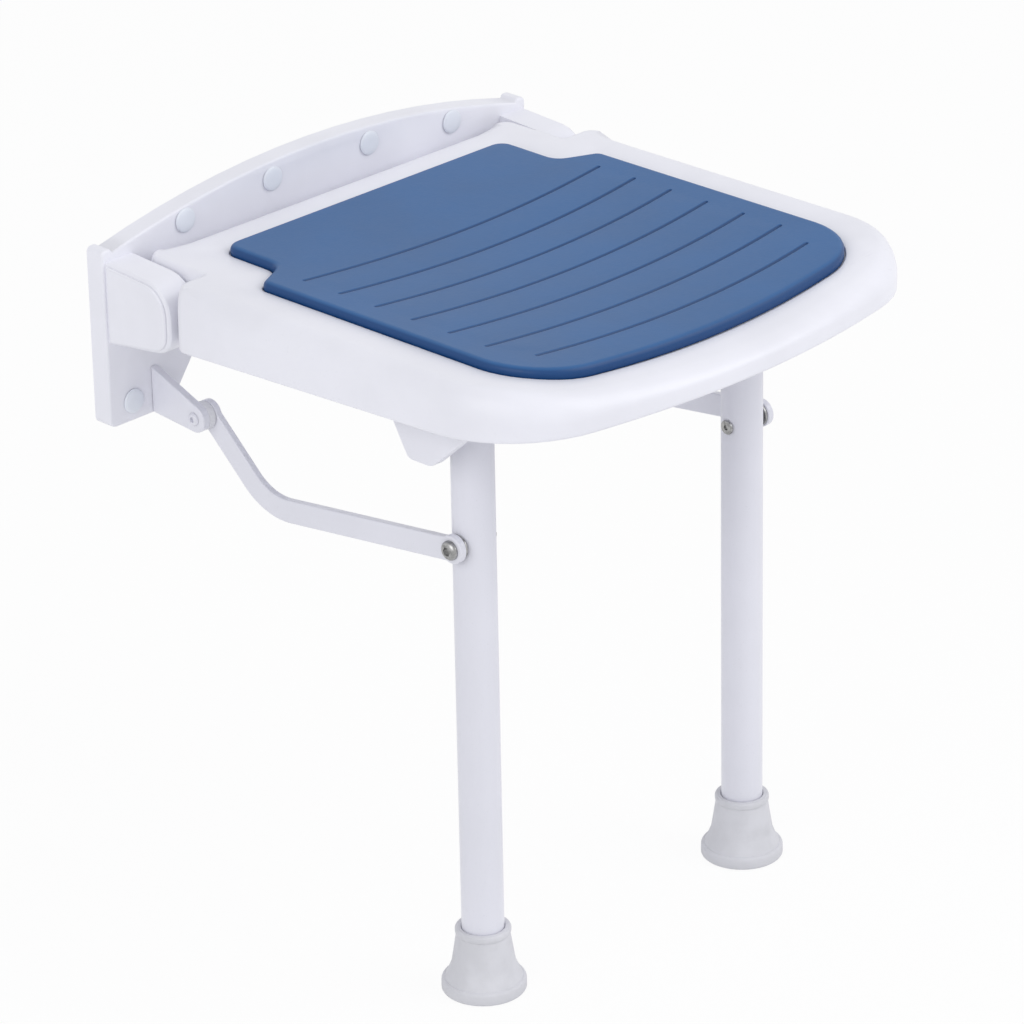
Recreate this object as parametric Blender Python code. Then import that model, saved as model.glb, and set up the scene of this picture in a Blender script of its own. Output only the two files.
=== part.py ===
"""Wall-mounted folding shower seat with two drop-down legs.

Metres, +Z up. The wall is the plane y = 0 and the room lies towards -Y.
The origin is on the back of the wall bracket, on its centre line, level with
the seat's hinge axis. Left and right are those of someone facing the wall.
"""

import math

import bmesh
import bpy
from mathutils import Vector

# Linkage: the seat's hinge axis, the leg pivots and the two ends of each link
HINGE_HEIGHT = 0.438
HINGE_REACH = 0.055
PIVOT_REACH = 0.222
PIVOT_DROP = 0.029
LINK_DROP = 0.088

# Clearances
TOUCH_GAP = 0.0003
PAD_GAP = 0.0007
RUNNING_GAP = 0.0004
SIDE_GAP = 0.002
SWING_GAP = 0.0015

# Wall bracket plate; the seat is flush with its sides
PLATE_HALF_WIDTH = 0.195
PLATE_THICKNESS = 0.015
PLATE_EDGE = 0.0014
ARCH_TOP = 0.0495
ARCH_DROP = 0.0235
ARCH_STEPS = 14
HORN_WIDTH = 0.009
HORN_RISE = 0.0025
HORN_RADIUS = 0.0035
LOBE_BOTTOM = 0.095
LOBE_WIDTH = 0.053
LOBE_CORNER = 0.005
NOTCH_SLOPE = 0.041
NOTCH_TOP = 0.038
NOTCH_CORNER = 0.010

# Hollows in the back of the plate
POCKET_DEPTH = 0.009
POCKET_LIMIT = 0.030
POCKET_RIB = 0.005
POCKET_POST = 0.009
POCKET_LOW = -0.032
POCKET_HIGH = 0.024

# Hinge cheeks on the plate
CHEEK_WIDTH = 0.023
CHEEK_SETBACK = 0.002
CHEEK_ROOT = 0.008
CHEEK_REACH = 0.074
CHEEK_TOP_REAR = 0.0215
CHEEK_TOP_FRONT = 0.0175
CHEEK_BOTTOM_FRONT = 0.028
CHEEK_BOTTOM_REAR = 0.037
CHEEK_TOP_RADIUS = 0.022
CHEEK_NOSE_RADIUS = 0.015
CHEEK_EDGE = 0.002
COVER_MARGIN = 0.004
COVER_EDGE = 0.0012
COVER_BOSS_LENGTH = 0.003

# Wall fixings and their caps
INNER_FIXING_X = 0.0446
INNER_FIXING_Z = 0.0365
OUTER_FIXING_INSET = 0.072
OUTER_FIXING_Z = 0.030
LOWER_FIXING_INSET = 0.020
LOWER_FIXING_Z = -0.081
FIXING_HOLE_RADIUS = 0.003
COUNTERBORE_RADIUS = 0.0058
COUNTERBORE_DEPTH = 0.005
CAP_RADIUS = 0.0083
CAP_RISE = 0.003
CAP_DOME = ((0.45, 0.93), (0.80, 0.65))

# Seat shell
SEAT_REACH = 0.4047
SEAT_FRONT_BOW = 0.031
SEAT_CORNER_RADIUS = 0.077
TONGUE_REAR = 0.022
TONGUE_CORNER = 0.012
TONGUE_BOTTOM = -0.018
SHOULDER_RADIUS = 0.012
SHOULDER_FILLET = 0.0036
WALL = 0.004
DECK_LEVEL = 0.017
RIM_RISE = 0.005
RIM_WIDTH = 0.018
NOSE_RADIUS = 0.0135
NOSE_CENTRE = 0.001
TIGHT_NOSE_RADIUS = 0.004
TIGHT_NOSE_END = 0.030
SKIRT_REAR = -0.0222
SKIRT_FRONT = -0.008
SKIRT_EDGE = 0.0025
SKIRT_DRAFT = 0.0005
SKIRT_CHAMFER = 0.0015
DISH_DEPTH = 0.005
DISH_START = 0.050
DISH_FULL = 0.200
ROLL_LENGTH = 0.0647
ROLL_DROP = 0.004
RIM_FADE_FAR = 0.0597
RIM_FADE_NEAR = 0.0047

# Ribs and pivot lugs under the seat
RIB_BOTTOM = -0.008
RIB_THICKNESS = 0.003
RIB_MARGIN = 0.020
CROSS_RIB_COUNT = 4
CROSS_RIB_STEP = 0.0015
CROSS_RIB_REAR = 0.113
CROSS_RIB_MARGIN = 0.0637
INNER_LUG_THICKNESS = 0.006
OUTER_LUG_THICKNESS = 0.008
INNER_LUG_RADIUS = 0.016
LUG_FLARE = 0.010
LUG_FLAT = 0.6
LUG_ROUND = 0.7
OUTER_LUG_DROP = 0.0235
OUTER_LUG_REAR = 0.0155
OUTER_LUG_FRONT = 0.005
OUTER_LUG_REAR_ROOT = 0.041
OUTER_LUG_FRONT_ROOT = 0.055
OUTER_LUG_REAR_RADIUS = 0.006
OUTER_LUG_FRONT_RADIUS = 0.012
LUG_BLIND_WALL = 0.003
OUTER_LUG_GAP = 0.019
BOSS_LENGTH = 0.017
BOSS_RADIUS = 0.013
BOSS_STEP = 0.001
STOW_NOTCH_TOP = -0.012
STOW_NOTCH_MARGIN = 0.004

# Seat pad
PAD_THICKNESS = 0.008
PAD_SIDE_MARGIN = 0.039
PAD_TONGUE_MARGIN = 0.0395
PAD_REAR = 0.057
PAD_WAIST = 0.108
PAD_SHOULDER = 0.122
PAD_FRONT_MARGIN = 0.0302
PAD_FRONT_BOW = 0.016
PAD_REAR_CORNER = 0.011
PAD_WAIST_FILLET = 0.014
PAD_SHOULDER_RADIUS = 0.008
PAD_CORNER_RADIUS = 0.052
PAD_EDGE = 0.004
PAD_UNDER_EDGE = 0.001
GROOVE_COUNT = 7
GROOVE_FIRST = 0.1403
GROOVE_FRONT_MARGIN = 0.041
GROOVE_SIDE_MARGIN = 0.019
GROOVE_LAST_SIDE_MARGIN = 0.030
GROOVE_BOW = 0.009
GROOVE_WIDTH = 0.0024
GROOVE_DEPTH = 0.0012

# Legs
LEG_INSET = 0.069
LEG_RADIUS = 0.014
LEG_WALL = 0.0015
LEG_TOP_RISE = 0.012
PLUG_FLANGE = 0.003
PLUG_LENGTH = 0.0065
PLUG_EDGE = 0.002
PIN_RADIUS = 0.005
PIN_HEAD_RADIUS = 0.008
PIN_HEAD_LENGTH = 0.003
PIVOT_SPACER_RADIUS = 0.008

# Rubber feet
FOOT_HEIGHT = 0.0455
FOOT_RADIUS = 0.028
FOOT_NECK_RADIUS = 0.0176
FOOT_BASE = 0.008
FOOT_EDGE = 0.0015
FOOT_FLANGE_HEIGHT = 0.006
FOOT_FLARE_HEIGHT = 0.014
FOOT_FLARE = 0.0055
FOOT_WAIST_HEIGHT = 0.019
FOOT_WAIST = 0.0035
FOOT_LIP = 0.0006
FOOT_LIP_HEIGHT = 0.005

# Links and what joins them
LINK_WIDTH = 0.016
LINK_THICKNESS = 0.005
LINK_BEND_REACH = 0.054
LINK_BEND_DROP = 0.050
LINK_BEND_RADIUS = 0.045
LINK_EYE_RADIUS = 0.0095
WASHER_THICKNESS = 0.0016
WASHER_RADIUS = 0.0085
LINK_HOLE_GAP = 0.0005
BOLT_RADIUS = 0.004
BOLT_HEAD_RADIUS = 0.0065
BOLT_HEAD_LENGTH = 0.0034
BOLT_HEAD_DOME = 0.0003
SOCKET_RADIUS = 0.0026
SOCKET_DEPTH = 0.0018
NUT_RADIUS = 0.005
NUT_LENGTH = 0.0018
NUT_EDGE = 0.0006
NUT_SOCKET_RADIUS = 0.002
NUT_SOCKET_DEPTH = 0.001
LUG_PLATE = 0.0055
LUG_SPACER = 0.006
LUG_END_RADIUS = 0.0095
LUG_ROOT_TOP = -0.062
LUG_ROOT_BOTTOM = -0.094
LUG_EDGE = 0.0008
LUG_FLANGE_WIDTH = 0.011
LUG_FLANGE_HEIGHT = 0.017
LUG_FLANGE_THICKNESS = 0.0025
RIVET_RADIUS = 0.003
RIVET_HEAD_RADIUS = 0.0045
RIVET_HEAD_LENGTH = 0.0018
RIVET_DOME = 0.0003
RIVET_SOCKET_RADIUS = 0.0016
LUG_SCREW_HEAD_RADIUS = 0.004
LUG_SCREW_HEAD_LENGTH = 0.0018
LUG_SCREW_RADIUS = 0.002
LUG_SCREW_LENGTH = 0.008

# Hinge pins and bushes
HINGE_PIN_RADIUS = 0.005
BUSH_RADIUS = 0.008
BUSH_FLANGE_RADIUS = 0.0095

# Part of a side that one corner's arc may take up when both its ends are round
LONGEST_ARC = 0.48

# Part of a wall's thickness that a rib or boss reaches into it
SUNK_SHARE = 0.6

# Flat crown and straight side of a pin's, bolt's, rivet's or screw's head, as
# parts of its radius and its length
HEAD_CROWN = 0.75
HEAD_SIDE = 0.4

# Widths of a groove's cutter at its floor and above the pad, in groove widths
GROOVE_FLOOR_SHARE = 0.7
GROOVE_MOUTH_SHARE = 1.8

# Part of a bowed front's half width that follows the bow, and its straight chords
BOW_SHARE = 0.6
BOW_STEPS = 3

# Facets round a turned piece and round an arc, and divisions of a rib's top
FINE_STEPS = 20
SMALL_STEPS = 16
SCREW_STEPS = 12
LUG_STEPS = 10
BOSS_STEPS = 8
RIB_STEPS = 12
GROOVE_STEPS = 6
EYE_STEPS = 12
BEND_STEPS = 6

# How far a cutting tool runs past what it cuts
OVERRUN = 0.002

# Distances in from the edge at which the rings of the seat's and the pad's skin lie
DECK_RINGS = (0.135, 0.100, 0.070, 0.048, 0.034, 0.026, 0.019)
PAD_UNDER_RINGS = (0.100, 0.055, 0.020)
PAD_TOP_RINGS = (0.018, 0.045, 0.080)
NOSE_STEPS = 5
INNER_NOSE_STEPS = 3

SIDES = (("left", -1), ("right", 1))

# Heights and places that follow from the sizes above
HINGE = Vector((0, -HINGE_REACH, 0))
PIVOT = Vector((0, -HINGE_REACH - PIVOT_REACH, -PIVOT_DROP))
LUG_PIN = Vector((0, -HINGE_REACH, -LINK_DROP))
LINK_BOLT = Vector((0, PIVOT.y, -PIVOT_DROP - LINK_DROP))
FLOOR = -HINGE_HEIGHT
SEAT_HALF_WIDTH = PLATE_HALF_WIDTH
LEG_X = SEAT_HALF_WIDTH - LEG_INSET
LEG_OUTER = LEG_X + LEG_RADIUS
LEG_INNER = LEG_X - LEG_RADIUS
CHEEK_OUTER = PLATE_HALF_WIDTH - CHEEK_SETBACK
CHEEK_INNER = CHEEK_OUTER - CHEEK_WIDTH
TONGUE_HALF_WIDTH = CHEEK_INNER - SIDE_GAP
SHOULDER_REACH = CHEEK_REACH + SIDE_GAP + SWING_GAP
WASHER_INNER = LEG_OUTER + TOUCH_GAP
LINK_INNER = WASHER_INNER + WASHER_THICKNESS + TOUCH_GAP
LINK_OUTER = LINK_INNER + LINK_THICKNESS
LUG_INNER = LINK_OUTER + LUG_SPACER
LUG_OUTER = LUG_INNER + LUG_PLATE
OUTER_LUG_INNER = LEG_OUTER + OUTER_LUG_GAP
OUTER_LUG_OUTER = OUTER_LUG_INNER + OUTER_LUG_THICKNESS
INNER_LUG_OUTER = LEG_INNER - SIDE_GAP
INNER_LUG_INNER = INNER_LUG_OUTER - INNER_LUG_THICKNESS
CENTRE_RIB_X = INNER_LUG_INNER / 3
CROSS_RIB_FRONT = SEAT_REACH - CROSS_RIB_MARGIN
LOBE_INNER = PLATE_HALF_WIDTH - LOBE_WIDTH
NOTCH_HALF_WIDTH = LOBE_INNER - NOTCH_SLOPE
OUTER_FIXING_X = PLATE_HALF_WIDTH - OUTER_FIXING_INSET
LOWER_FIXING_X = PLATE_HALF_WIDTH - LOWER_FIXING_INSET
PAD_HALF_WIDTH = SEAT_HALF_WIDTH - PAD_SIDE_MARGIN
PAD_TONGUE_HALF_WIDTH = TONGUE_HALF_WIDTH - PAD_TONGUE_MARGIN
PAD_REACH = SEAT_REACH - PAD_FRONT_MARGIN
GROOVE_SPREAD = PAD_REACH - GROOVE_FRONT_MARGIN - GROOVE_FIRST
GROOVE_PITCH = GROOVE_SPREAD / (GROOVE_COUNT - 1)
GROOVE_HALF_LENGTH = PAD_HALF_WIDTH - GROOVE_SIDE_MARGIN
GROOVE_LAST_HALF_LENGTH = PAD_HALF_WIDTH - GROOVE_LAST_SIDE_MARGIN


def clear_scene():
    """Removes whatever objects the scene holds."""
    for obj in list(bpy.data.objects):
        bpy.data.objects.remove(obj, do_unlink=True)


def make_material(name, colour, roughness, metallic=0.0):
    material = bpy.data.materials.new(name)
    material.use_nodes = True
    shader = material.node_tree.nodes["Principled BSDF"]
    shader.inputs["Base Color"].default_value = (*colour, 1)
    shader.inputs["Roughness"].default_value = roughness
    shader.inputs["Metallic"].default_value = metallic
    return material


def make_materials():
    """The finishes of the pieces, by name."""
    return {
        "moulded_white": make_material("moulded_white", (0.82, 0.82, 0.88), 0.35),
        "cap_white": make_material("cap_white", (0.78, 0.84, 0.87), 0.30),
        "coated_white": make_material("coated_white", (0.80, 0.80, 0.86), 0.28),
        "pad_blue": make_material("pad_blue", (0.05, 0.15, 0.33), 0.45),
        "foot_rubber": make_material("foot_rubber", (0.80, 0.80, 0.84), 0.60),
        "bush_nylon": make_material("bush_nylon", (0.75, 0.75, 0.75), 0.45),
        "bright_steel": make_material("bright_steel", (0.45, 0.45, 0.45), 0.30, 1.0),
    }


def make_pivot(name, place, parent=None):
    """An empty on a joint's axis, for the pieces that turn about it."""
    pivot = bpy.data.objects.new(name, None)
    bpy.context.collection.objects.link(pivot)
    pivot.parent = parent
    pivot.location = place - (parent.matrix_world.translation if parent else Vector())
    bpy.context.view_layer.update()
    return pivot


def add_piece(name, bm, material, pivot=None, smooth=35):
    """Turns a closed mesh, built where it belongs, into an object on its pivot."""
    if pivot is not None:
        bmesh.ops.translate(bm, verts=bm.verts, vec=-pivot.matrix_world.translation)
    bmesh.ops.recalc_face_normals(bm, faces=bm.faces)
    mesh = bpy.data.meshes.new(name)
    bm.to_mesh(mesh)
    bm.free()
    mesh.shade_smooth()
    mesh.set_sharp_from_angle(angle=math.radians(smooth))
    mesh.materials.append(material)
    obj = bpy.data.objects.new(name, mesh)
    bpy.context.collection.objects.link(obj)
    obj.parent = pivot
    return obj


def change(target, name, shapes, operation, pivot=None):
    """Joins tool shapes to a piece, or cuts them away; the tools aren't pieces."""
    group = bpy.data.collections.new(name)
    bpy.context.scene.collection.children.link(group)
    for index, bm in enumerate(shapes):
        tool = add_piece(f"{name}_{index + 1}", bm, target.data.materials[0], pivot)
        bpy.context.collection.objects.unlink(tool)
        group.objects.link(tool)
        tool.hide_render = True
        tool.display_type = "WIRE"
    modifier = target.modifiers.new(name, "BOOLEAN")
    modifier.operation = operation
    modifier.solver = "EXACT"
    modifier.operand_type = "COLLECTION"
    modifier.collection = group


def spot(axis, along, first, second):
    """A point at one distance along an axis and at two distances across it."""
    if axis == "X":
        return Vector((along, first, second))
    if axis == "Y":
        return Vector((first, along, second))
    return Vector((first, second, along))


def blend(low, high, value):
    """0 below low, 1 above high, and an even S between them."""
    share = min(max((value - low) / (high - low), 0), 1)
    return share * share * (3 - 2 * share)


def rounded(corners, steps=5, divisions=None):
    """Points round a shape given by corners (across, up, radius).

    Each corner with a radius becomes an arc of that many steps, and each
    straight side can be cut into a number of equal divisions.
    """
    count = len(corners)
    arcs = []
    for index in range(count):
        before = Vector(corners[index - 1][:2])
        here = Vector(corners[index][:2])
        after = Vector(corners[(index + 1) % count][:2])
        radius = corners[index][2]
        if radius <= 0:
            arcs.append([here])
            continue
        back = (before - here).normalized()
        ahead = (after - here).normalized()
        half = math.acos(max(-1, min(1, back.dot(ahead)))) / 2
        reach = radius / math.tan(half)
        for neighbour in (corners[index - 1], corners[(index + 1) % count]):
            share = LONGEST_ARC if neighbour[2] > 0 else 2 * LONGEST_ARC
            reach = min(reach, share * (Vector(neighbour[:2]) - here).length)
        radius = reach * math.tan(half)
        centre = here + (back + ahead).normalized() * radius / math.sin(half)
        start = here + back * reach - centre
        finish = here + ahead * reach - centre
        turn = math.atan2(start.cross(finish), start.dot(finish))
        arc = []
        for step in range(steps + 1):
            angle = turn * step / steps
            across = start.x * math.cos(angle) - start.y * math.sin(angle)
            up = start.x * math.sin(angle) + start.y * math.cos(angle)
            arc.append(centre + Vector((across, up)))
        arcs.append(arc)
    points = []
    for index, arc in enumerate(arcs):
        points.extend(arc)
        pieces = divisions[index] if divisions else 1
        following = arcs[(index + 1) % count][0]
        for piece in range(1, pieces):
            points.append(arc[-1].lerp(following, piece / pieces))
    return points


def inset(corners, amount, tightest=0.0005):
    """The same corners with every side moved in; they run anticlockwise."""
    count = len(corners)
    moved = []
    for index in range(count):
        before = Vector(corners[index - 1][:2])
        here = Vector(corners[index][:2])
        after = Vector(corners[(index + 1) % count][:2])
        radius = corners[index][2]
        first = (here - before).normalized()
        second = (after - here).normalized()
        first_normal = Vector((-first.y, first.x))
        second_normal = Vector((-second.y, second.x))
        turn = first.cross(second)
        spread = 1 + first_normal.dot(second_normal)
        place = here + (first_normal + second_normal) * amount / spread
        if turn > 0 and radius > 0:
            radius = max(radius - amount, tightest)
        moved.append((place.x, place.y, radius))
    return moved


def mirrored(half):
    """A whole outline from the corners of its right half, in order."""
    return half + [(-across, up, radius) for across, up, radius in reversed(half)]


def bowed(corners, half_width, bow):
    """The same corners with a bow in place of the straight front side.

    The bow is that of the full half width, and the first and last corner are
    the two that end the front side.
    """
    end_x, end_y, radius = corners[0]
    half = []
    for step in range(BOW_STEPS + 1):
        x = end_x * BOW_SHARE * step / BOW_STEPS
        half.append((x, end_y - bow + bow * (x / half_width) ** 2, 0))
    x, y, _ = half[-1]
    slope = 2 * bow * x / half_width ** 2
    corner = (end_x, y + slope * (end_x - x), radius)
    other = (-end_x, corner[1], radius)
    rest = [(-across, up, 0) for across, up, _ in reversed(half[1:])]
    return [*half, corner, *corners[1:-1], other, *rest]


def prism(points, axis, low, high):
    """A flat outline drawn out along an axis."""
    bm = bmesh.new()
    near = [bm.verts.new(spot(axis, low, point[0], point[1])) for point in points]
    far = [bm.verts.new(spot(axis, high, point[0], point[1])) for point in points]
    bm.faces.new(near)
    bm.faces.new(far)
    for index in range(len(points)):
        following = (index + 1) % len(points)
        bm.faces.new((near[index], near[following], far[following], far[index]))
    bmesh.ops.recalc_face_normals(bm, faces=bm.faces)
    return bm


def box(low, high):
    """A plain block between two corners."""
    outline = [(low[0], low[1]), (high[0], low[1]), (high[0], high[1]), (low[0], high[1])]
    return prism(outline, "Z", low[2], high[2])


def soften(bm, axis, along, width, steps=2):
    """Rounds the rim of a prism's end face."""
    index = "XYZ".index(axis)
    rim = []
    for edge in bm.edges:
        if all(abs(vert.co[index] - along) < 1e-7 for vert in edge.verts):
            rim.append(edge)
    bmesh.ops.bevel(bm, geom=rim, offset=width, segments=steps, affect="EDGES", profile=0.5)
    return bm


def turned(profile, axis, centre, steps=SMALL_STEPS, loop=False):
    """A turned piece from (radius, place along the axis) pairs."""
    bm = bmesh.new()
    index = "XYZ".index(axis)
    others = [centre[other] for other in range(3) if other != index]
    rings = []
    for radius, along in profile:
        ring = []
        for step in range(steps if radius > 0 else 1):
            angle = 2 * math.pi * step / steps
            across = others[0] + radius * math.cos(angle)
            up = others[1] + radius * math.sin(angle)
            ring.append(bm.verts.new(spot(axis, along, across, up)))
        rings.append(ring)
    pairs = list(zip(rings, rings[1:]))
    if loop:
        pairs.append((rings[-1], rings[0]))
    for first, second in pairs:
        for step in range(steps):
            following = (step + 1) % steps
            corners = [
                first[step % len(first)],
                first[following % len(first)],
                second[following % len(second)],
                second[step % len(second)],
            ]
            bm.faces.new(list(dict.fromkeys(corners)))
    return bm


def rod(axis, centre, radius, low, high, steps=SMALL_STEPS):
    """A plain round bar."""
    return turned([(0, low), (radius, low), (radius, high), (0, high)], axis, centre, steps)


def collar(axis, centre, hole, radius, low, high, steps=SMALL_STEPS):
    """A plain round ring."""
    profile = [(hole, low), (radius, low), (radius, high), (hole, high)]
    return turned(profile, axis, centre, steps, loop=True)


def on_side(side, bm):
    """The piece as it is on the right, or its mirror image on the left."""
    if side < 0:
        for vert in bm.verts:
            vert.co.x = -vert.co.x
        bmesh.ops.reverse_faces(bm, faces=bm.faces)
    return bm


def arch_height(x):
    """Height of the plate's arched top at a distance from its middle."""
    half = PLATE_HALF_WIDTH - HORN_WIDTH
    radius = (half * half + ARCH_DROP * ARCH_DROP) / (2 * ARCH_DROP)
    return ARCH_TOP - radius + math.sqrt(radius * radius - x * x)


def plate_outline():
    """Arched plate with a small horn and a deep lobe at each end."""
    arch_end = PLATE_HALF_WIDTH - HORN_WIDTH
    horn_top = arch_height(arch_end) + HORN_RISE
    half = [
        (NOTCH_HALF_WIDTH, -NOTCH_TOP, NOTCH_CORNER),
        (LOBE_INNER, -LOBE_BOTTOM, LOBE_CORNER),
        (PLATE_HALF_WIDTH, -LOBE_BOTTOM, LOBE_CORNER),
        (PLATE_HALF_WIDTH, horn_top, HORN_RADIUS),
        (arch_end + HORN_RADIUS / 2, horn_top, HORN_RADIUS / 2),
    ]
    for step in range(ARCH_STEPS // 2):
        x = arch_end * (1 - 2 * step / ARCH_STEPS)
        half.append((x, arch_height(x), 0))
    crown = [(0, ARCH_TOP, 0)]
    other = [(-across, up, radius) for across, up, radius in reversed(half)]
    return rounded(half + crown + other, 4)


def cheek_corners(rear):
    """Side view of a hinge cheek, from the given distance off the wall."""
    return [
        (-rear, -CHEEK_BOTTOM_REAR, 0),
        (-rear, CHEEK_TOP_REAR, 0),
        (-CHEEK_REACH, CHEEK_TOP_FRONT, CHEEK_TOP_RADIUS),
        (-CHEEK_REACH, -CHEEK_BOTTOM_FRONT, CHEEK_NOSE_RADIUS),
    ]


def fixings():
    """Centres of the wall fixings on the face of the plate."""
    half = [
        (INNER_FIXING_X, INNER_FIXING_Z),
        (OUTER_FIXING_X, OUTER_FIXING_Z),
        (LOWER_FIXING_X, LOWER_FIXING_Z),
    ]
    return sorted((side * x, z) for x, z in half for _, side in SIDES)


def plate_pockets():
    """Blocks that hollow the back of the plate between its posts."""
    posts = [0, INNER_FIXING_X, OUTER_FIXING_X, CHEEK_INNER]
    middle = (POCKET_LOW + POCKET_HIGH) / 2
    rows = [(POCKET_LOW, middle - POCKET_RIB / 2), (middle + POCKET_RIB / 2, POCKET_HIGH)]
    blocks = []
    for first, second in zip(posts, posts[1:]):
        low = first + POCKET_POST
        high = second - POCKET_POST
        count = math.ceil((high - low) / POCKET_LIMIT)
        width = (high - low - POCKET_RIB * (count - 1)) / count
        for index in range(count):
            left = low + index * (width + POCKET_RIB)
            for bottom, top in rows:
                for side in (-1, 1):
                    ends = sorted((side * left, side * (left + width)))
                    low_corner = (ends[0], -POCKET_DEPTH, bottom)
                    blocks.append(box(low_corner, (ends[1], POCKET_DEPTH, top)))
    return blocks


def fixing_holes():
    """Stepped holes for the wall screws and the stems of their caps."""
    holes = []
    for x, z in fixings():
        seat = -PLATE_THICKNESS + COUNTERBORE_DEPTH
        profile = [
            (0, -2 * PLATE_THICKNESS),
            (COUNTERBORE_RADIUS, -2 * PLATE_THICKNESS),
            (COUNTERBORE_RADIUS, seat),
            (FIXING_HOLE_RADIUS, seat),
            (FIXING_HOLE_RADIUS, PLATE_THICKNESS),
            (0, PLATE_THICKNESS),
        ]
        holes.append(turned(profile, "Y", (x, 0, z)))
    return holes


def build_wall_bracket(materials):
    """Moulded plate with both hinge cheeks, its holes and its hollow back."""
    white = materials["moulded_white"]
    plate = prism(plate_outline(), "Y", -PLATE_THICKNESS, 0)
    soften(plate, "Y", -PLATE_THICKNESS, PLATE_EDGE)
    bracket = add_piece("wall_bracket", plate, white)
    cheeks = []
    holes = fixing_holes()
    radius = HINGE_PIN_RADIUS + RUNNING_GAP / 2
    for _, side in SIDES:
        cheek = prism(rounded(cheek_corners(CHEEK_ROOT)), "X", CHEEK_INNER, CHEEK_OUTER)
        soften(cheek, "X", CHEEK_OUTER, CHEEK_EDGE)
        cheeks.append(on_side(side, cheek))
        pin_hole = rod("X", HINGE, radius, CHEEK_INNER - SIDE_GAP, CHEEK_OUTER + SIDE_GAP)
        holes.append(on_side(side, pin_hole))
        holes.append(on_side(side, lug_screw_hole()))
    change(bracket, "cheeks", cheeks, "UNION")
    change(bracket, "bracket_hollows", holes + plate_pockets(), "DIFFERENCE")


def lug_screw_spot():
    """Centre of the screw that holds a link lug's flange."""
    x = LUG_INNER - LUG_FLANGE_WIDTH / 2
    return Vector((x, 0, LUG_ROOT_BOTTOM + LUG_FLANGE_HEIGHT / 2))


def lug_screw_hole():
    """Blind hole in the plate for a lug's screw."""
    depth = LUG_SCREW_LENGTH + TOUCH_GAP
    radius = LUG_SCREW_RADIUS + TOUCH_GAP
    return rod("Y", lug_screw_spot(), radius, -2 * PLATE_THICKNESS, -PLATE_THICKNESS + depth)


def build_screw_caps(materials):
    """Domed caps with a stem in each fixing's counterbore."""
    face = -PLATE_THICKNESS
    stem = COUNTERBORE_RADIUS - TOUCH_GAP
    for index, (x, z) in enumerate(fixings()):
        profile = [
            (0, face - CAP_RISE),
            *((CAP_RADIUS * out, face - CAP_RISE * up) for out, up in CAP_DOME),
            (CAP_RADIUS, face - TOUCH_GAP * 2),
            (CAP_RADIUS - TOUCH_GAP, face - TOUCH_GAP),
            (stem, face - TOUCH_GAP),
            (stem, face + COUNTERBORE_DEPTH - TOUCH_GAP),
            (0, face + COUNTERBORE_DEPTH - TOUCH_GAP),
        ]
        cap = turned(profile, "Y", (x, 0, z))
        add_piece(f"screw_cap_{index + 1}", cap, materials["cap_white"])


def build_hinge_covers(materials):
    """Outer panels of the cheeks, each with a boss in the hinge pin's hole."""
    white = materials["moulded_white"]
    low = CHEEK_OUTER + TOUCH_GAP
    for name, side in SIDES:
        outline = rounded(inset(cheek_corners(PLATE_THICKNESS), COVER_MARGIN))
        panel = prism(outline, "X", low, PLATE_HALF_WIDTH)
        soften(panel, "X", PLATE_HALF_WIDTH, COVER_EDGE)
        cover = add_piece("hinge_cover_" + name, on_side(side, panel), white)
        radius = HINGE_PIN_RADIUS - RUNNING_GAP
        boss = rod("X", HINGE, radius, CHEEK_OUTER - COVER_BOSS_LENGTH, low + COVER_EDGE / 2)
        change(cover, "cover_boss_" + name, [on_side(side, boss)], "UNION")


def build_hinge_pins(materials):
    """Steel pins from each cheek into the seat's hinge bosses."""
    inner = TONGUE_HALF_WIDTH - BOSS_LENGTH
    outer = CHEEK_OUTER - COVER_BOSS_LENGTH - TOUCH_GAP
    for name, side in SIDES:
        pin = rod("X", HINGE, HINGE_PIN_RADIUS, inner, outer, FINE_STEPS)
        add_piece("hinge_pin_" + name, on_side(side, pin), materials["bright_steel"])


def lug_outline():
    """Side view of a link lug: a wide root that narrows to a round end."""
    face = -PLATE_THICKNESS - TOUCH_GAP
    end = Vector((LUG_PIN.y, LUG_PIN.z))
    points = [Vector((face, LUG_ROOT_TOP))]
    slope = (Vector((face, LUG_ROOT_TOP)) - end)
    lean = math.asin(LUG_END_RADIUS / slope.length)
    start = math.atan2(slope.y, slope.x) + math.pi / 2 - lean
    finish = 1.5 * math.pi
    for step in range(LUG_STEPS + 1):
        angle = start + (finish - start) * step / LUG_STEPS
        points.append(end + LUG_END_RADIUS * Vector((math.cos(angle), math.sin(angle))))
    points.append(Vector((face, LUG_ROOT_BOTTOM)))
    return points


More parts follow.
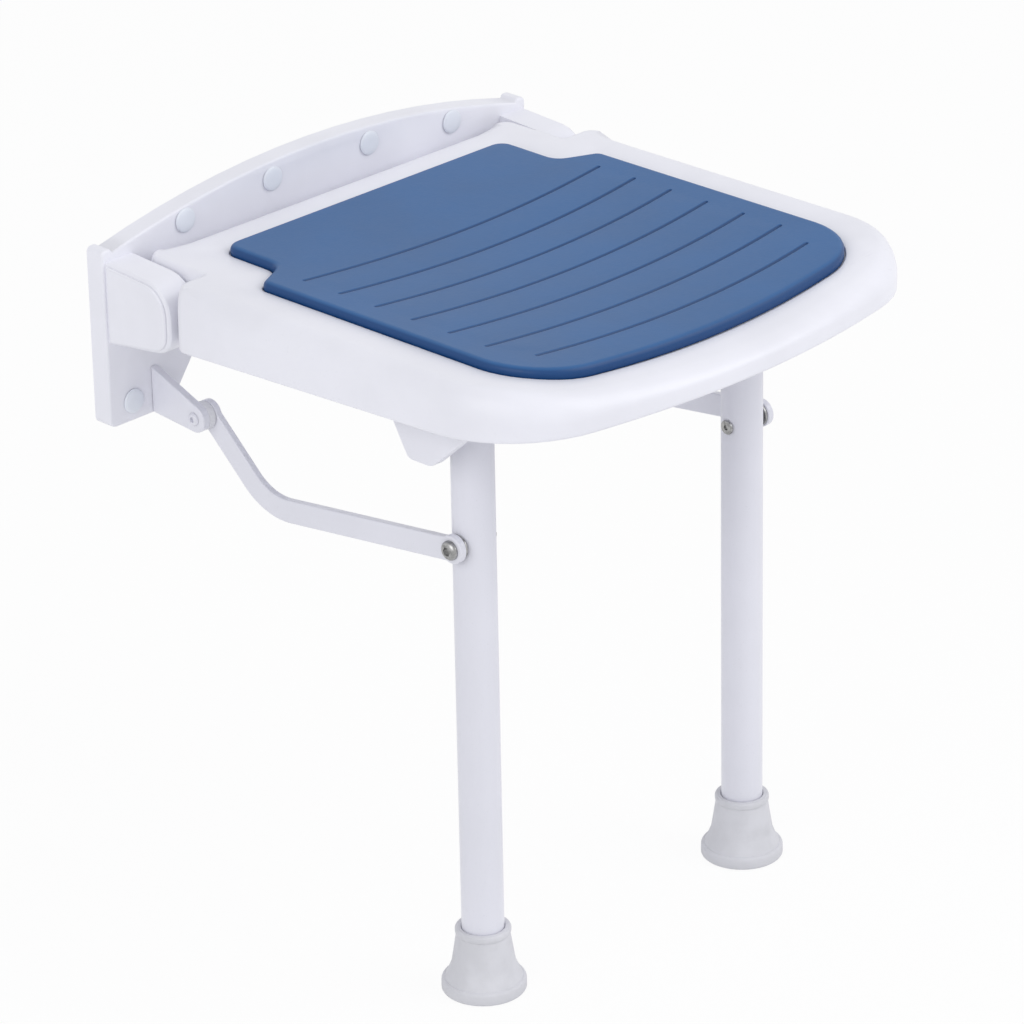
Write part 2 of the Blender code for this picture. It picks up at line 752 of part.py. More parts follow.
def build_link_lugs(materials):
    """Angle brackets on the plate's lobes that carry the rear ends of the links."""
    coat = materials["coated_white"]
    steel = materials["bright_steel"]
    face = -PLATE_THICKNESS - TOUCH_GAP
    flange_face = face - LUG_FLANGE_THICKNESS
    for name, side in SIDES:
        plate = prism(lug_outline(), "X", LUG_INNER, LUG_OUTER)
        soften(plate, "X", LUG_OUTER, LUG_EDGE, 1)
        lug = add_piece("link_lug_" + name, on_side(side, plate), coat)
        flange = box(
            (LUG_INNER - LUG_FLANGE_WIDTH, flange_face, LUG_ROOT_BOTTOM),
            (LUG_INNER + LUG_PLATE / 2, face, LUG_ROOT_BOTTOM + LUG_FLANGE_HEIGHT),
        )
        change(lug, "lug_flange_" + name, [on_side(side, flange)], "UNION")
        radius = RIVET_RADIUS + TOUCH_GAP
        hole = rod("X", LUG_PIN, radius, LUG_INNER - OVERRUN, LUG_OUTER + OVERRUN)
        radius = LUG_SCREW_RADIUS + TOUCH_GAP
        screw = rod("Y", lug_screw_spot(), radius, flange_face - OVERRUN, face + OVERRUN)
        cuts = [on_side(side, hole), on_side(side, screw)]
        change(lug, "lug_holes_" + name, cuts, "DIFFERENCE")
        head = flange_face - TOUCH_GAP
        profile = [
            (0, head - LUG_SCREW_HEAD_LENGTH),
            (LUG_SCREW_HEAD_RADIUS * HEAD_CROWN, head - LUG_SCREW_HEAD_LENGTH),
            (LUG_SCREW_HEAD_RADIUS, head - LUG_SCREW_HEAD_LENGTH * HEAD_SIDE),
            (LUG_SCREW_HEAD_RADIUS, head),
            (LUG_SCREW_RADIUS, head),
            (LUG_SCREW_RADIUS, -PLATE_THICKNESS + LUG_SCREW_LENGTH),
            (0, -PLATE_THICKNESS + LUG_SCREW_LENGTH),
        ]
        lug_screw = turned(profile, "Y", lug_screw_spot(), SCREW_STEPS)
        add_piece("lug_screw_" + name, on_side(side, lug_screw), steel)


def build_link_rivets(materials):
    """Rivet and spacer between each lug and its link."""
    for name, side in SIDES:
        outer = LUG_OUTER + TOUCH_GAP
        inner = LINK_INNER - TOUCH_GAP
        tip = outer + RIVET_HEAD_LENGTH
        profile = [
            (0, tip - SOCKET_DEPTH / 2),
            (RIVET_SOCKET_RADIUS, tip - SOCKET_DEPTH / 2),
            (RIVET_SOCKET_RADIUS, tip),
            (RIVET_HEAD_RADIUS * HEAD_CROWN, tip - RIVET_DOME),
            (RIVET_HEAD_RADIUS, outer + RIVET_HEAD_LENGTH * HEAD_SIDE),
            (RIVET_HEAD_RADIUS, outer),
            (RIVET_RADIUS, outer),
            (RIVET_RADIUS, inner),
            (RIVET_HEAD_RADIUS, inner),
            (RIVET_HEAD_RADIUS, inner - RIVET_HEAD_LENGTH * HEAD_SIDE),
            (RIVET_HEAD_RADIUS * HEAD_CROWN, inner - RIVET_HEAD_LENGTH),
            (0, inner - RIVET_HEAD_LENGTH),
        ]
        rivet = turned(profile, "X", LUG_PIN)
        add_piece("link_rivet_" + name, on_side(side, rivet), materials["bright_steel"])
        low = LINK_OUTER + TOUCH_GAP
        high = LUG_INNER - TOUCH_GAP
        hole = RIVET_RADIUS + TOUCH_GAP
        spacer = collar("X", LUG_PIN, hole, LINK_EYE_RADIUS, low, high, FINE_STEPS)
        add_piece("link_spacer_" + name, on_side(side, spacer), materials["bush_nylon"])


def seat_corners():
    """Plan of the seat: a rear tongue between the cheeks and a wide body."""
    half = [
        (SEAT_HALF_WIDTH, -SEAT_REACH + SEAT_FRONT_BOW, SEAT_CORNER_RADIUS),
        (SEAT_HALF_WIDTH, -SHOULDER_REACH, SHOULDER_RADIUS),
        (TONGUE_HALF_WIDTH, -SHOULDER_REACH, SHOULDER_FILLET),
        (TONGUE_HALF_WIDTH, -TONGUE_REAR, TONGUE_CORNER),
    ]
    return mirrored(half)


def deck_height(x, y):
    """Top of the seat under the pad: dished across and rolled down in front."""
    across = max(0, 1 - (x / PAD_HALF_WIDTH) ** 2)
    dish = DISH_DEPTH * across * blend(DISH_START, DISH_FULL, -y)
    roll = max(0, 1 - (SEAT_REACH + y) / ROLL_LENGTH)
    return DECK_LEVEL - dish - ROLL_DROP * roll * roll


def border_height(x, y, depth):
    """Top of the seat at a distance in from its edge, with the raised rim."""
    fade = blend(RIM_FADE_NEAR, RIM_FADE_FAR, SEAT_REACH + y)
    share = 1 - blend(0, RIM_WIDTH, depth - NOSE_RADIUS)
    return deck_height(x, y) + RIM_RISE * fade * share


def skirt_bottom(y):
    """Lower edge of the seat's skirt, which rises towards the front."""
    if y > -SHOULDER_REACH + SHOULDER_FILLET:
        return TONGUE_BOTTOM
    share = (-y - SHOULDER_REACH) / (SEAT_REACH - SHOULDER_REACH)
    return SKIRT_REAR + (SKIRT_FRONT - SKIRT_REAR) * share


def shell_rings():
    """Pairs of a distance in from the edge and a height rule, from the middle
    of the top, out over the nose, down the skirt and back under the deck."""
    rings = []
    for depth in DECK_RINGS:
        rings.append((depth, lambda x, y, d=depth: border_height(x, y, d)))
    for step in range(NOSE_STEPS + 1):
        angle = math.pi / 2 * (1 - step / NOSE_STEPS)
        depth = NOSE_RADIUS * (1 - math.cos(angle))
        rings.append((depth, lambda x, y, d=depth: nose_height(x, y, d, 0)))
    rings.append((SKIRT_DRAFT, lambda x, y: skirt_bottom(y) + SKIRT_EDGE))
    rings.append((SKIRT_CHAMFER, lambda x, y: skirt_bottom(y)))
    rings.append((WALL, lambda x, y: skirt_bottom(y)))
    for step in range(INNER_NOSE_STEPS + 1):
        angle = math.pi / 2 * step / INNER_NOSE_STEPS
        depth = NOSE_RADIUS - (NOSE_RADIUS - WALL) * math.cos(angle)
        rings.append((depth, lambda x, y, d=depth: nose_height(x, y, d, WALL)))
    for depth in reversed(DECK_RINGS[:-2]):
        rings.append((depth, lambda x, y, d=depth: border_height(x, y, d) - WALL))
    return rings


def nose_radius(x, y):
    """Depth of the rounded edge: tight in the corner round a cheek, full elsewhere."""
    across = max(0, TONGUE_HALF_WIDTH - abs(x))
    along = max(0, -SHOULDER_REACH - y)
    away = math.hypot(across, along)
    spread = blend(NOSE_RADIUS, TIGHT_NOSE_END, away)
    return TIGHT_NOSE_RADIUS + (NOSE_RADIUS - TIGHT_NOSE_RADIUS) * spread


def nose_height(x, y, depth, wall):
    """Height on the rounded edge at a distance in, for the outer or inner face."""
    top = border_height(x, y, NOSE_RADIUS) - wall
    radius = max(nose_radius(x, y) - wall, TOUCH_GAP)
    out = max(0, 1 - (depth - wall) / radius)
    return NOSE_CENTRE + (top - NOSE_CENTRE) * math.sqrt(max(0, 1 - out * out))


def lofted(corners, bow, rings, steps, divisions, middles):
    """A closed skin over rings of one outline, closed by a point at both ends."""
    bm = bmesh.new()
    loops = []
    for depth, height in rings:
        bent = bowed(inset(corners, depth), corners[0][0], bow)
        outline = rounded(bent, steps, divisions)
        loops.append([bm.verts.new((p.x, p.y, height(p.x, p.y))) for p in outline])
    for first, second in zip(loops, loops[1:]):
        for index in range(len(first)):
            following = (index + 1) % len(first)
            corners_here = (first[index], first[following], second[following], second[index])
            bm.faces.new(corners_here)
    for loop, middle in ((loops[0], middles[0]), (loops[-1], middles[1])):
        point = bm.verts.new(middle)
        for index in range(len(loop)):
            bm.faces.new((loop[index], loop[(index + 1) % len(loop)], point))
    bmesh.ops.recalc_face_normals(bm, faces=bm.faces)
    bmesh.ops.triangulate(bm, faces=bm.faces)
    return bm


def seat_skin():
    """The seat's outer shell, open underneath."""
    centre = -(SHOULDER_REACH + SEAT_REACH) / 2
    top = deck_height(0, centre)
    middles = (Vector((0, centre, top)), Vector((0, centre, top - WALL)))
    front = [1] * BOW_STEPS
    divisions = [*front, 1, 5, 1, 2, 6, 2, 1, 5, 1, *front]
    return lofted(seat_corners(), SEAT_FRONT_BOW, shell_rings(), 5, divisions, middles)


def rib_top(x, y):
    """Middle of the deck's thickness, where a rib ends inside it."""
    return deck_height(x, y) - WALL / 2


def inner_lug():
    """Lower edge of an inner rib round its leg's pivot, from front to rear."""
    spread = INNER_LUG_RADIUS + LUG_FLARE
    flat = INNER_LUG_RADIUS * LUG_FLAT
    low = PIVOT.z - INNER_LUG_RADIUS
    return [
        (PIVOT.y - spread, RIB_BOTTOM, LUG_FLARE),
        (PIVOT.y - flat, low, INNER_LUG_RADIUS * LUG_ROUND),
        (PIVOT.y + flat, low, INNER_LUG_RADIUS * LUG_ROUND),
        (PIVOT.y + spread, RIB_BOTTOM, LUG_FLARE),
    ]


def outer_lug():
    """Lower edge of an outer rib round its leg's pivot: long in front, steep behind."""
    low = PIVOT.z - OUTER_LUG_DROP
    return [
        (PIVOT.y - OUTER_LUG_FRONT_ROOT, RIB_BOTTOM, LUG_FLARE),
        (PIVOT.y - OUTER_LUG_FRONT, low, OUTER_LUG_FRONT_RADIUS),
        (PIVOT.y + OUTER_LUG_REAR, low, OUTER_LUG_REAR_RADIUS),
        (PIVOT.y + OUTER_LUG_REAR_ROOT, RIB_BOTTOM, LUG_FLARE),
    ]


def long_rib(x, thickness, lug):
    """A rib along the seat, with the corners of a lug for the leg's pivot."""
    front = -SEAT_REACH + RIB_MARGIN * 2
    rear = -SHOULDER_REACH + WALL / 2
    corners = []
    for step in range(RIB_STEPS + 1):
        y = rear + (front - rear) * step / RIB_STEPS
        corners.append((y, rib_top(x, y), 0))
    corners.append((front, RIB_BOTTOM, 0))
    corners.extend(lug)
    corners.append((rear, RIB_BOTTOM, 0))
    return prism(rounded(corners, 5), "X", x - thickness / 2, x + thickness / 2)


def cross_rib(y):
    """A rib across the seat between the inner pivot lugs."""
    reach = INNER_LUG_INNER + INNER_LUG_THICKNESS / 2
    points = []
    for step in range(RIB_STEPS + 1):
        x = -reach + 2 * reach * step / RIB_STEPS
        points.append(Vector((x, rib_top(x, y))))
    points.append(Vector((reach, RIB_BOTTOM + CROSS_RIB_STEP)))
    points.append(Vector((-reach, RIB_BOTTOM + CROSS_RIB_STEP)))
    return prism(points, "Y", y - RIB_THICKNESS / 2, y + RIB_THICKNESS / 2)


def hinge_boss(radius, top, inner, outer):
    """Block round a hinge pin at the side of the tongue."""
    points = [Vector((HINGE.y - radius, top))]
    for step in range(BOSS_STEPS + 1):
        angle = math.pi + math.pi * step / BOSS_STEPS
        across = HINGE.y + radius * math.cos(angle)
        points.append(Vector((across, radius * math.sin(angle))))
    points.append(Vector((HINGE.y + radius, top)))
    return prism(points, "X", inner, outer)


def hinge_bosses():
    """Each boss is a low block out to the side wall and a narrower one up to the deck."""
    inner = TONGUE_HALF_WIDTH - BOSS_LENGTH
    outer = TONGUE_HALF_WIDTH - WALL / 2
    low = hinge_boss(BOSS_RADIUS, NOSE_CENTRE + NOSE_RADIUS / 3, inner, outer)
    high_top = DECK_LEVEL + RIM_RISE - WALL * SUNK_SHARE
    outer = TONGUE_HALF_WIDTH - NOSE_RADIUS * SUNK_SHARE
    high = hinge_boss(BOSS_RADIUS - BOSS_STEP, high_top, inner + BOSS_STEP, outer)
    return [low, high]


def seat_bores():
    """Holes for the hinge bushes and the leg pivot pins, and the stow notches."""
    cuts = []
    for _, side in SIDES:
        inner = TONGUE_HALF_WIDTH - BOSS_LENGTH - OVERRUN
        outer = TONGUE_HALF_WIDTH + OVERRUN
        bore = rod("X", HINGE, BUSH_RADIUS + TOUCH_GAP, inner, outer, FINE_STEPS)
        pin_end = OUTER_LUG_OUTER - LUG_BLIND_WALL
        low = INNER_LUG_INNER - OVERRUN
        pin = rod("X", PIVOT, PIN_RADIUS + TOUCH_GAP, low, pin_end, FINE_STEPS)
        left = INNER_LUG_OUTER - STOW_NOTCH_MARGIN
        right = LINK_OUTER + BOLT_HEAD_LENGTH + STOW_NOTCH_MARGIN
        rear = -TONGUE_REAR - 3 * WALL
        notch = box((left, rear, TONGUE_BOTTOM * 2), (right, 0, STOW_NOTCH_TOP))
        cuts.extend(on_side(side, tool) for tool in (bore, pin, notch))
    return cuts


def build_seat_shell(materials, pivot):
    """Moulded seat with ribs, hinge bosses and pivot lugs underneath."""
    white = materials["moulded_white"]
    shell = add_piece("seat_shell", seat_skin(), white, pivot)
    ribs = []
    for _, side in SIDES:
        inner = side * (INNER_LUG_INNER + INNER_LUG_THICKNESS / 2)
        outer = side * (OUTER_LUG_INNER + OUTER_LUG_THICKNESS / 2)
        ribs.append(long_rib(inner, INNER_LUG_THICKNESS, inner_lug()))
        ribs.append(long_rib(outer, OUTER_LUG_THICKNESS, outer_lug()))
        ribs.append(long_rib(side * CENTRE_RIB_X, RIB_THICKNESS, []))
        ribs.extend(on_side(side, boss) for boss in hinge_bosses())
    spread = CROSS_RIB_FRONT - CROSS_RIB_REAR
    for index in range(CROSS_RIB_COUNT):
        ribs.append(cross_rib(-CROSS_RIB_REAR - spread * index / (CROSS_RIB_COUNT - 1)))
    change(shell, "seat_ribs", ribs, "UNION", pivot)
    change(shell, "seat_bores", seat_bores(), "DIFFERENCE", pivot)


def pad_corners():
    """Plan of the pad: a narrower rear, then shoulders and a bowed front."""
    half = [
        (PAD_HALF_WIDTH, -PAD_REACH + PAD_FRONT_BOW, PAD_CORNER_RADIUS),
        (PAD_HALF_WIDTH, -PAD_SHOULDER, PAD_SHOULDER_RADIUS),
        (PAD_TONGUE_HALF_WIDTH, -PAD_WAIST, PAD_WAIST_FILLET),
        (PAD_TONGUE_HALF_WIDTH, -PAD_REAR, PAD_REAR_CORNER),
    ]
    return mirrored(half)


def pad_top(x, y):
    """Upper face of the pad, away from its rounded edge."""
    return deck_height(x, y) + PAD_GAP + PAD_THICKNESS


def pad_rings():
    """Distances in from the pad's edge with heights, underside first."""
    rings = []
    for depth in (*PAD_UNDER_RINGS, PAD_UNDER_EDGE):
        rings.append((depth, lambda x, y: deck_height(x, y) + PAD_GAP))
    rings.append((0, lambda x, y: deck_height(x, y) + PAD_GAP + PAD_UNDER_EDGE))
    for step in range(3):
        angle = math.pi / 2 * step / 2
        depth = PAD_EDGE * (1 - math.cos(angle))
        drop = PAD_EDGE * (1 - math.sin(angle))
        rings.append((depth, lambda x, y, d=drop: pad_top(x, y) - d))
    for depth in PAD_TOP_RINGS:
        rings.append((depth, pad_top))
    return rings


def groove_line(index, share):
    """A point on the middle line of a groove, share running from -1 to 1."""
    last = index == GROOVE_COUNT - 1
    half = GROOVE_LAST_HALF_LENGTH if last else GROOVE_HALF_LENGTH
    x = half * share
    y = -GROOVE_FIRST - GROOVE_PITCH * index - GROOVE_BOW * (1 - share * share)
    return x, y


def groove_cutter(index):
    """A thin bent bar that cuts one drainage groove."""
    bm = bmesh.new()
    rings = []
    narrow = GROOVE_WIDTH * GROOVE_FLOOR_SHARE / 2
    wide = GROOVE_WIDTH * GROOVE_MOUTH_SHARE / 2
    for step in range(GROOVE_STEPS + 1):
        x, y = groove_line(index, 2 * step / GROOVE_STEPS - 1)
        floor = pad_top(x, y) - GROOVE_DEPTH
        mouth = floor + 2 * GROOVE_DEPTH
        section = ((-narrow, floor), (narrow, floor), (wide, mouth), (-wide, mouth))
        rings.append([bm.verts.new((x, y + across, up)) for across, up in section])
    for first, second in zip(rings, rings[1:]):
        for corner in range(4):
            following = (corner + 1) % 4
            bm.faces.new((first[corner], first[following], second[following], second[corner]))
    bm.faces.new(rings[0])
    bm.faces.new(rings[-1])
    bmesh.ops.recalc_face_normals(bm, faces=bm.faces)
    return bm


def build_seat_pad(materials, pivot):
    """Soft pad with rounded edges and curved drainage grooves."""
    blue = materials["pad_blue"]
    centre = -(PAD_SHOULDER + PAD_REACH) / 2
    low = deck_height(0, centre) + PAD_GAP
    middles = (Vector((0, centre, low)), Vector((0, centre, low + PAD_THICKNESS)))
    front = [1] * BOW_STEPS
    divisions = [*front, 1, 4, 1, 1, 5, 1, 1, 4, 1, *front]
    skin = lofted(pad_corners(), PAD_FRONT_BOW, pad_rings(), 4, divisions, middles)
    pad = add_piece("seat_pad", skin, blue, pivot)
    cutters = [groove_cutter(index) for index in range(GROOVE_COUNT)]
    change(pad, "pad_grooves", cutters, "DIFFERENCE", pivot)


def build_hinge_bushes(materials, pivot):
    """Flanged bushes in the tongue, each with its flange against the cheek."""
    hole = HINGE_PIN_RADIUS + RUNNING_GAP / 4
    inner = TONGUE_HALF_WIDTH - BOSS_LENGTH
    seat = TONGUE_HALF_WIDTH + TOUCH_GAP
    tip = CHEEK_INNER - TOUCH_GAP
    for name, side in SIDES:
        profile = [
            (hole, inner),
            (BUSH_RADIUS, inner),
            (BUSH_RADIUS, seat),
            (BUSH_FLANGE_RADIUS, seat),
            (BUSH_FLANGE_RADIUS, tip),
            (hole, tip),
        ]
        bush = turned(profile, "X", HINGE, FINE_STEPS, loop=True)
        add_piece("hinge_bush_" + name, on_side(side, bush), materials["bush_nylon"], pivot)


def build_leg_pins(materials, pivot):
    """Pins that the legs turn on, and the sleeves that keep the legs inboard."""
    tip = OUTER_LUG_OUTER - LUG_BLIND_WALL - TOUCH_GAP
    head = INNER_LUG_INNER - TOUCH_GAP
    for name, side in SIDES:
        profile = [
            (0, head - PIN_HEAD_LENGTH),
            (PIN_HEAD_RADIUS * HEAD_CROWN, head - PIN_HEAD_LENGTH),
            (PIN_HEAD_RADIUS, head - PIN_HEAD_LENGTH * HEAD_SIDE),
            (PIN_HEAD_RADIUS, head),
            (PIN_RADIUS, head),
            (PIN_RADIUS, tip),
            (0, tip),
        ]
        pin = turned(profile, "X", PIVOT, FINE_STEPS)
        add_piece("leg_pin_" + name, on_side(side, pin), materials["bright_steel"], pivot)
        low = LEG_OUTER + 2 * TOUCH_GAP
        high = OUTER_LUG_INNER - TOUCH_GAP
        hole = PIN_RADIUS + TOUCH_GAP
        sleeve = collar("X", PIVOT, hole, PIVOT_SPACER_RADIUS, low, high, FINE_STEPS)
        add_piece("leg_spacer_" + name, on_side(side, sleeve), materials["bush_nylon"], pivot)


def leg_centre(side):
    return Vector((side * LEG_X, PIVOT.y, 0))


def build_leg(name, side, materials, pivot):
    """Leg tube with its plug, rubber foot, link bolt, washer and nut."""
    coat = materials["coated_white"]
    steel = materials["bright_steel"]
    centre = leg_centre(side)
    bottom = FLOOR + FOOT_BASE + TOUCH_GAP
    top = PIVOT.z + LEG_TOP_RISE
    bore = LEG_RADIUS - LEG_WALL
    tube_mesh = collar("Z", centre, bore, LEG_RADIUS, bottom, top, FINE_STEPS)
    tube = add_piece("leg_tube_" + name, tube_mesh, coat, pivot)
    low = LEG_INNER - OVERRUN
    high = LEG_OUTER + OVERRUN
    pin_hole = rod("X", PIVOT, PIN_RADIUS + RUNNING_GAP, low, high)
    bolt_hole = rod("X", LINK_BOLT, BOLT_RADIUS + TOUCH_GAP, low, high)
    cuts = [on_side(side, pin_hole), on_side(side, bolt_hole)]
    change(tube, "leg_holes_" + name, cuts, "DIFFERENCE", pivot)

    plug_profile = [
        (0, top + PLUG_FLANGE),
        (LEG_RADIUS - PLUG_EDGE, top + PLUG_FLANGE),
        (LEG_RADIUS, top + PLUG_FLANGE * HEAD_SIDE),
        (LEG_RADIUS, top + TOUCH_GAP),
        (bore - TOUCH_GAP, top + TOUCH_GAP),
        (bore - TOUCH_GAP, top - PLUG_LENGTH),
        (0, top - PLUG_LENGTH),
    ]
    plug = turned(plug_profile, "Z", centre, FINE_STEPS)
    add_piece("leg_plug_" + name, plug, materials["moulded_white"], pivot)

    foot = turned(foot_profile(), "Z", centre, FINE_STEPS)
    add_piece("leg_foot_" + name, foot, materials["foot_rubber"], pivot)
    build_link_bolt(name, side, steel, pivot)


def foot_profile():
    """Rubber foot from its base up: flange, flare, neck, lip and socket."""
    socket = LEG_RADIUS + TOUCH_GAP
    top = FLOOR + FOOT_HEIGHT
    neck = FOOT_NECK_RADIUS
    return [
        (0, FLOOR),
        (FOOT_RADIUS - FOOT_EDGE, FLOOR),
        (FOOT_RADIUS, FLOOR + FOOT_EDGE),
        (FOOT_RADIUS, FLOOR + FOOT_FLANGE_HEIGHT),
        (FOOT_RADIUS - FOOT_EDGE, FLOOR + FOOT_FLANGE_HEIGHT + 2 * FOOT_EDGE),
        (neck + FOOT_FLARE, FLOOR + FOOT_FLARE_HEIGHT),
        (neck + FOOT_WAIST, FLOOR + FOOT_WAIST_HEIGHT),
        (neck + FOOT_LIP, top - FOOT_LIP_HEIGHT - 2 * FOOT_EDGE),
        (neck, top - FOOT_LIP_HEIGHT),
        (neck + FOOT_LIP, top - FOOT_LIP_HEIGHT + FOOT_LIP),
        (neck + FOOT_LIP, top - FOOT_EDGE),
        (neck - FOOT_LIP, top),
        (socket, top),
        (socket, FLOOR + FOOT_BASE),
        (0, FLOOR + FOOT_BASE),
    ]


def build_link_bolt(name, side, steel, pivot):
    """Bolt through link and leg, its washer, and the sleeve nut inboard."""
    head = LINK_OUTER + TOUCH_GAP
    tip = LEG_INNER - TOUCH_GAP
    profile = [
        (0, head + BOLT_HEAD_LENGTH - SOCKET_DEPTH),
        (SOCKET_RADIUS, head + BOLT_HEAD_LENGTH - SOCKET_DEPTH),
        (SOCKET_RADIUS, head + BOLT_HEAD_LENGTH),
        (BOLT_HEAD_RADIUS * HEAD_CROWN, head + BOLT_HEAD_LENGTH - BOLT_HEAD_DOME),
        (BOLT_HEAD_RADIUS, head + BOLT_HEAD_LENGTH * HEAD_SIDE),
        (BOLT_HEAD_RADIUS, head),
        (BOLT_RADIUS, head),
        (BOLT_RADIUS, tip),
        (0, tip),
    ]
    bolt = turned(profile, "X", LINK_BOLT)
    add_piece("link_bolt_" + name, on_side(side, bolt), steel, pivot)
    high = WASHER_INNER + WASHER_THICKNESS
    hole = BOLT_RADIUS + TOUCH_GAP
    washer = collar("X", LINK_BOLT, hole, WASHER_RADIUS, WASHER_INNER, high, FINE_STEPS)
    add_piece("link_washer_" + name, on_side(side, washer), steel, pivot)
    nut_low = tip - TOUCH_GAP - NUT_LENGTH
    nut_profile = [
        (0, nut_low + NUT_SOCKET_DEPTH),
        (NUT_SOCKET_RADIUS, nut_low + NUT_SOCKET_DEPTH),
        (NUT_SOCKET_RADIUS, nut_low),
        (NUT_RADIUS - NUT_EDGE, nut_low),
        (NUT_RADIUS, nut_low + NUT_EDGE),
        (NUT_RADIUS, tip - TOUCH_GAP),
        (0, tip - TOUCH_GAP),
    ]
    nut = turned(nut_profile, "X", LINK_BOLT)
    add_piece("link_nut_" + name, on_side(side, nut), steel, pivot)


def link_outline():
    """Side view of a link: a bent flat bar with round ends."""
    rear = Vector((LUG_PIN.y, LUG_PIN.z))
    bend = rear + Vector((-LINK_BEND_REACH, -LINK_BEND_DROP))
    front = Vector((LINK_BOLT.y, LINK_BOLT.z))
    half = LINK_WIDTH / 2
    first = (bend - rear).normalized()
    second = (front - bend).normalized()
    first_across = Vector((-first.y, first.x))
    second_across = Vector((-second.y, second.x))
    spread = 1 + first_across.dot(second_across)
    elbow = (first_across + second_across) * half / spread
    turn_right = first.cross(second) < 0
    radii = (LINK_BEND_RADIUS - half, LINK_BEND_RADIUS + half)
    upper, lower = radii if not turn_right else (radii[1], radii[0])
    corners = [
        (*(rear + first_across * half), 0),
        (*(bend + elbow), upper),
        (*(front + second_across * half), 0),
    ]
    points = rounded_run(corners)
    points += eye_arc(front, second)
    corners = [
        (*(front - second_across * half), 0),
        (*(bend - elbow), lower),
        (*(rear - first_across * half), 0),
    ]
    points += rounded_run(corners)
    points += eye_arc(rear, -first)
    return points


def rounded_run(corners):
    """The arc of the middle corner of an open run of three."""
    points = rounded(corners, BEND_STEPS)
    return points[1:-1]


def eye_arc(centre, outward):
    """Round end of a link, a little wider than the bar."""
    half = math.pi - math.asin(LINK_WIDTH / 2 / LINK_EYE_RADIUS)
    middle = math.atan2(outward.y, outward.x)
    points = []
    for step in range(EYE_STEPS + 1):
        angle = middle + half * (1 - 2 * step / EYE_STEPS)
        points.append(centre + LINK_EYE_RADIUS * Vector((math.cos(angle), math.sin(angle))))
    return points


def build_link(name, side, materials, pivot):
    """Flat bar that steers a leg as the seat folds."""
    coat = materials["coated_white"]
    bar = prism(link_outline(), "X", LINK_INNER, LINK_OUTER)
    link = add_piece("link_bar_" + name, on_side(side, bar), coat, pivot)
    low = LINK_INNER - OVERRUN
    high = LINK_OUTER + OVERRUN
    rear_hole = rod("X", LUG_PIN, RIVET_RADIUS + TOUCH_GAP, low, high)
    front_hole = rod("X", LINK_BOLT, BOLT_RADIUS + LINK_HOLE_GAP, low, high)
    cuts = [on_side(side, rear_hole), on_side(side, front_hole)]
    change(link, "link_holes_" + name, cuts, "DIFFERENCE", pivot)


def main():
    clear_scene()
    materials = make_materials()
    build_wall_bracket(materials)
    build_screw_caps(materials)
    build_hinge_covers(materials)
    build_hinge_pins(materials)
    build_link_lugs(materials)
    build_link_rivets(materials)

    seat_axis = make_pivot("seat_hinge_axis", HINGE)
    build_seat_shell(materials, seat_axis)
    build_seat_pad(materials, seat_axis)
    build_hinge_bushes(materials, seat_axis)
    build_leg_pins(materials, seat_axis)
    for name, side in SIDES:
        leg_place = PIVOT + Vector((side * LEG_X, 0, 0))
        leg_axis = make_pivot("leg_axis_" + name, leg_place, seat_axis)
        build_leg(name, side, materials, leg_axis)
        link_place = LUG_PIN + Vector((side * LINK_INNER, 0, 0))
        link_axis = make_pivot("link_axis_" + name, link_place)
        build_link(name, side, materials, link_axis)


main()
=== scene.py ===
import math

import bmesh
import bpy
from mathutils import Matrix, Vector


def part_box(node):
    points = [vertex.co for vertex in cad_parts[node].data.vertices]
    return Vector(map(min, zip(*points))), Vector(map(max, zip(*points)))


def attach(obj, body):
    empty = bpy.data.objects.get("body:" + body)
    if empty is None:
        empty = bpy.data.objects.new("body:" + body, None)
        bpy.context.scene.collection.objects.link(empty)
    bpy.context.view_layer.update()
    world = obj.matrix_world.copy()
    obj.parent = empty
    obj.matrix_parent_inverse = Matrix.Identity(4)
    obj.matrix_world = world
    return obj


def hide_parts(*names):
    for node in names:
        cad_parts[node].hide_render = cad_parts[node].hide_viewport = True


bl_info = {
    "name": "Folding Shower Seat",
    "version": (1, 0, 0),
    "blender": (4, 5, 0),
    "location": "View3D > Sidebar > Shower Seat",
    "description": "Dresses a wall-mounted folding shower seat over its CAD frame",
    "category": "Object",
}

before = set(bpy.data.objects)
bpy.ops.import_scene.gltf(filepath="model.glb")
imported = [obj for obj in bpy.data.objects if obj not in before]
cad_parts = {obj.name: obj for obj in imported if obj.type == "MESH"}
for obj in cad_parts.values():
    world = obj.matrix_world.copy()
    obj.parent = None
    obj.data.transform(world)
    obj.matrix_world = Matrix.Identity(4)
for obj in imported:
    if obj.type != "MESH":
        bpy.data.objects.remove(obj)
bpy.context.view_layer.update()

SEAT_LOW, SEAT_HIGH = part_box("seat_shell")
PAD_LOW, PAD_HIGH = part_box("seat_pad")
TUBE_LOW, TUBE_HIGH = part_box("leg_tube_right")
FOOT_LOW, FOOT_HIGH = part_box("leg_foot_right")
COVER_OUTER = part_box("hinge_cover_right")[1].x

SIDES = (("left", -1), ("right", 1))
FLOOR = FOOT_LOW.z

# The four axes of the linkage, in the side view
HINGE = Vector((0, -0.055, 0))
PIVOT = Vector((0, -0.277, -0.029))
LUG_PIN = Vector((0, -0.055, -0.088))
LINK_BOLT = Vector((0, -0.277, -0.117))

# Face of the wall plate, and the small gap between neighbours
PLATE_FACE = -0.015
GAP = 0.0003

# Allowance when a point's place is compared
HAIR = 0.00001


def length(name, default, description):
    """A size that the user can change."""
    return bpy.props.FloatProperty(
        name=name, default=default, description=description, unit="LENGTH"
    )


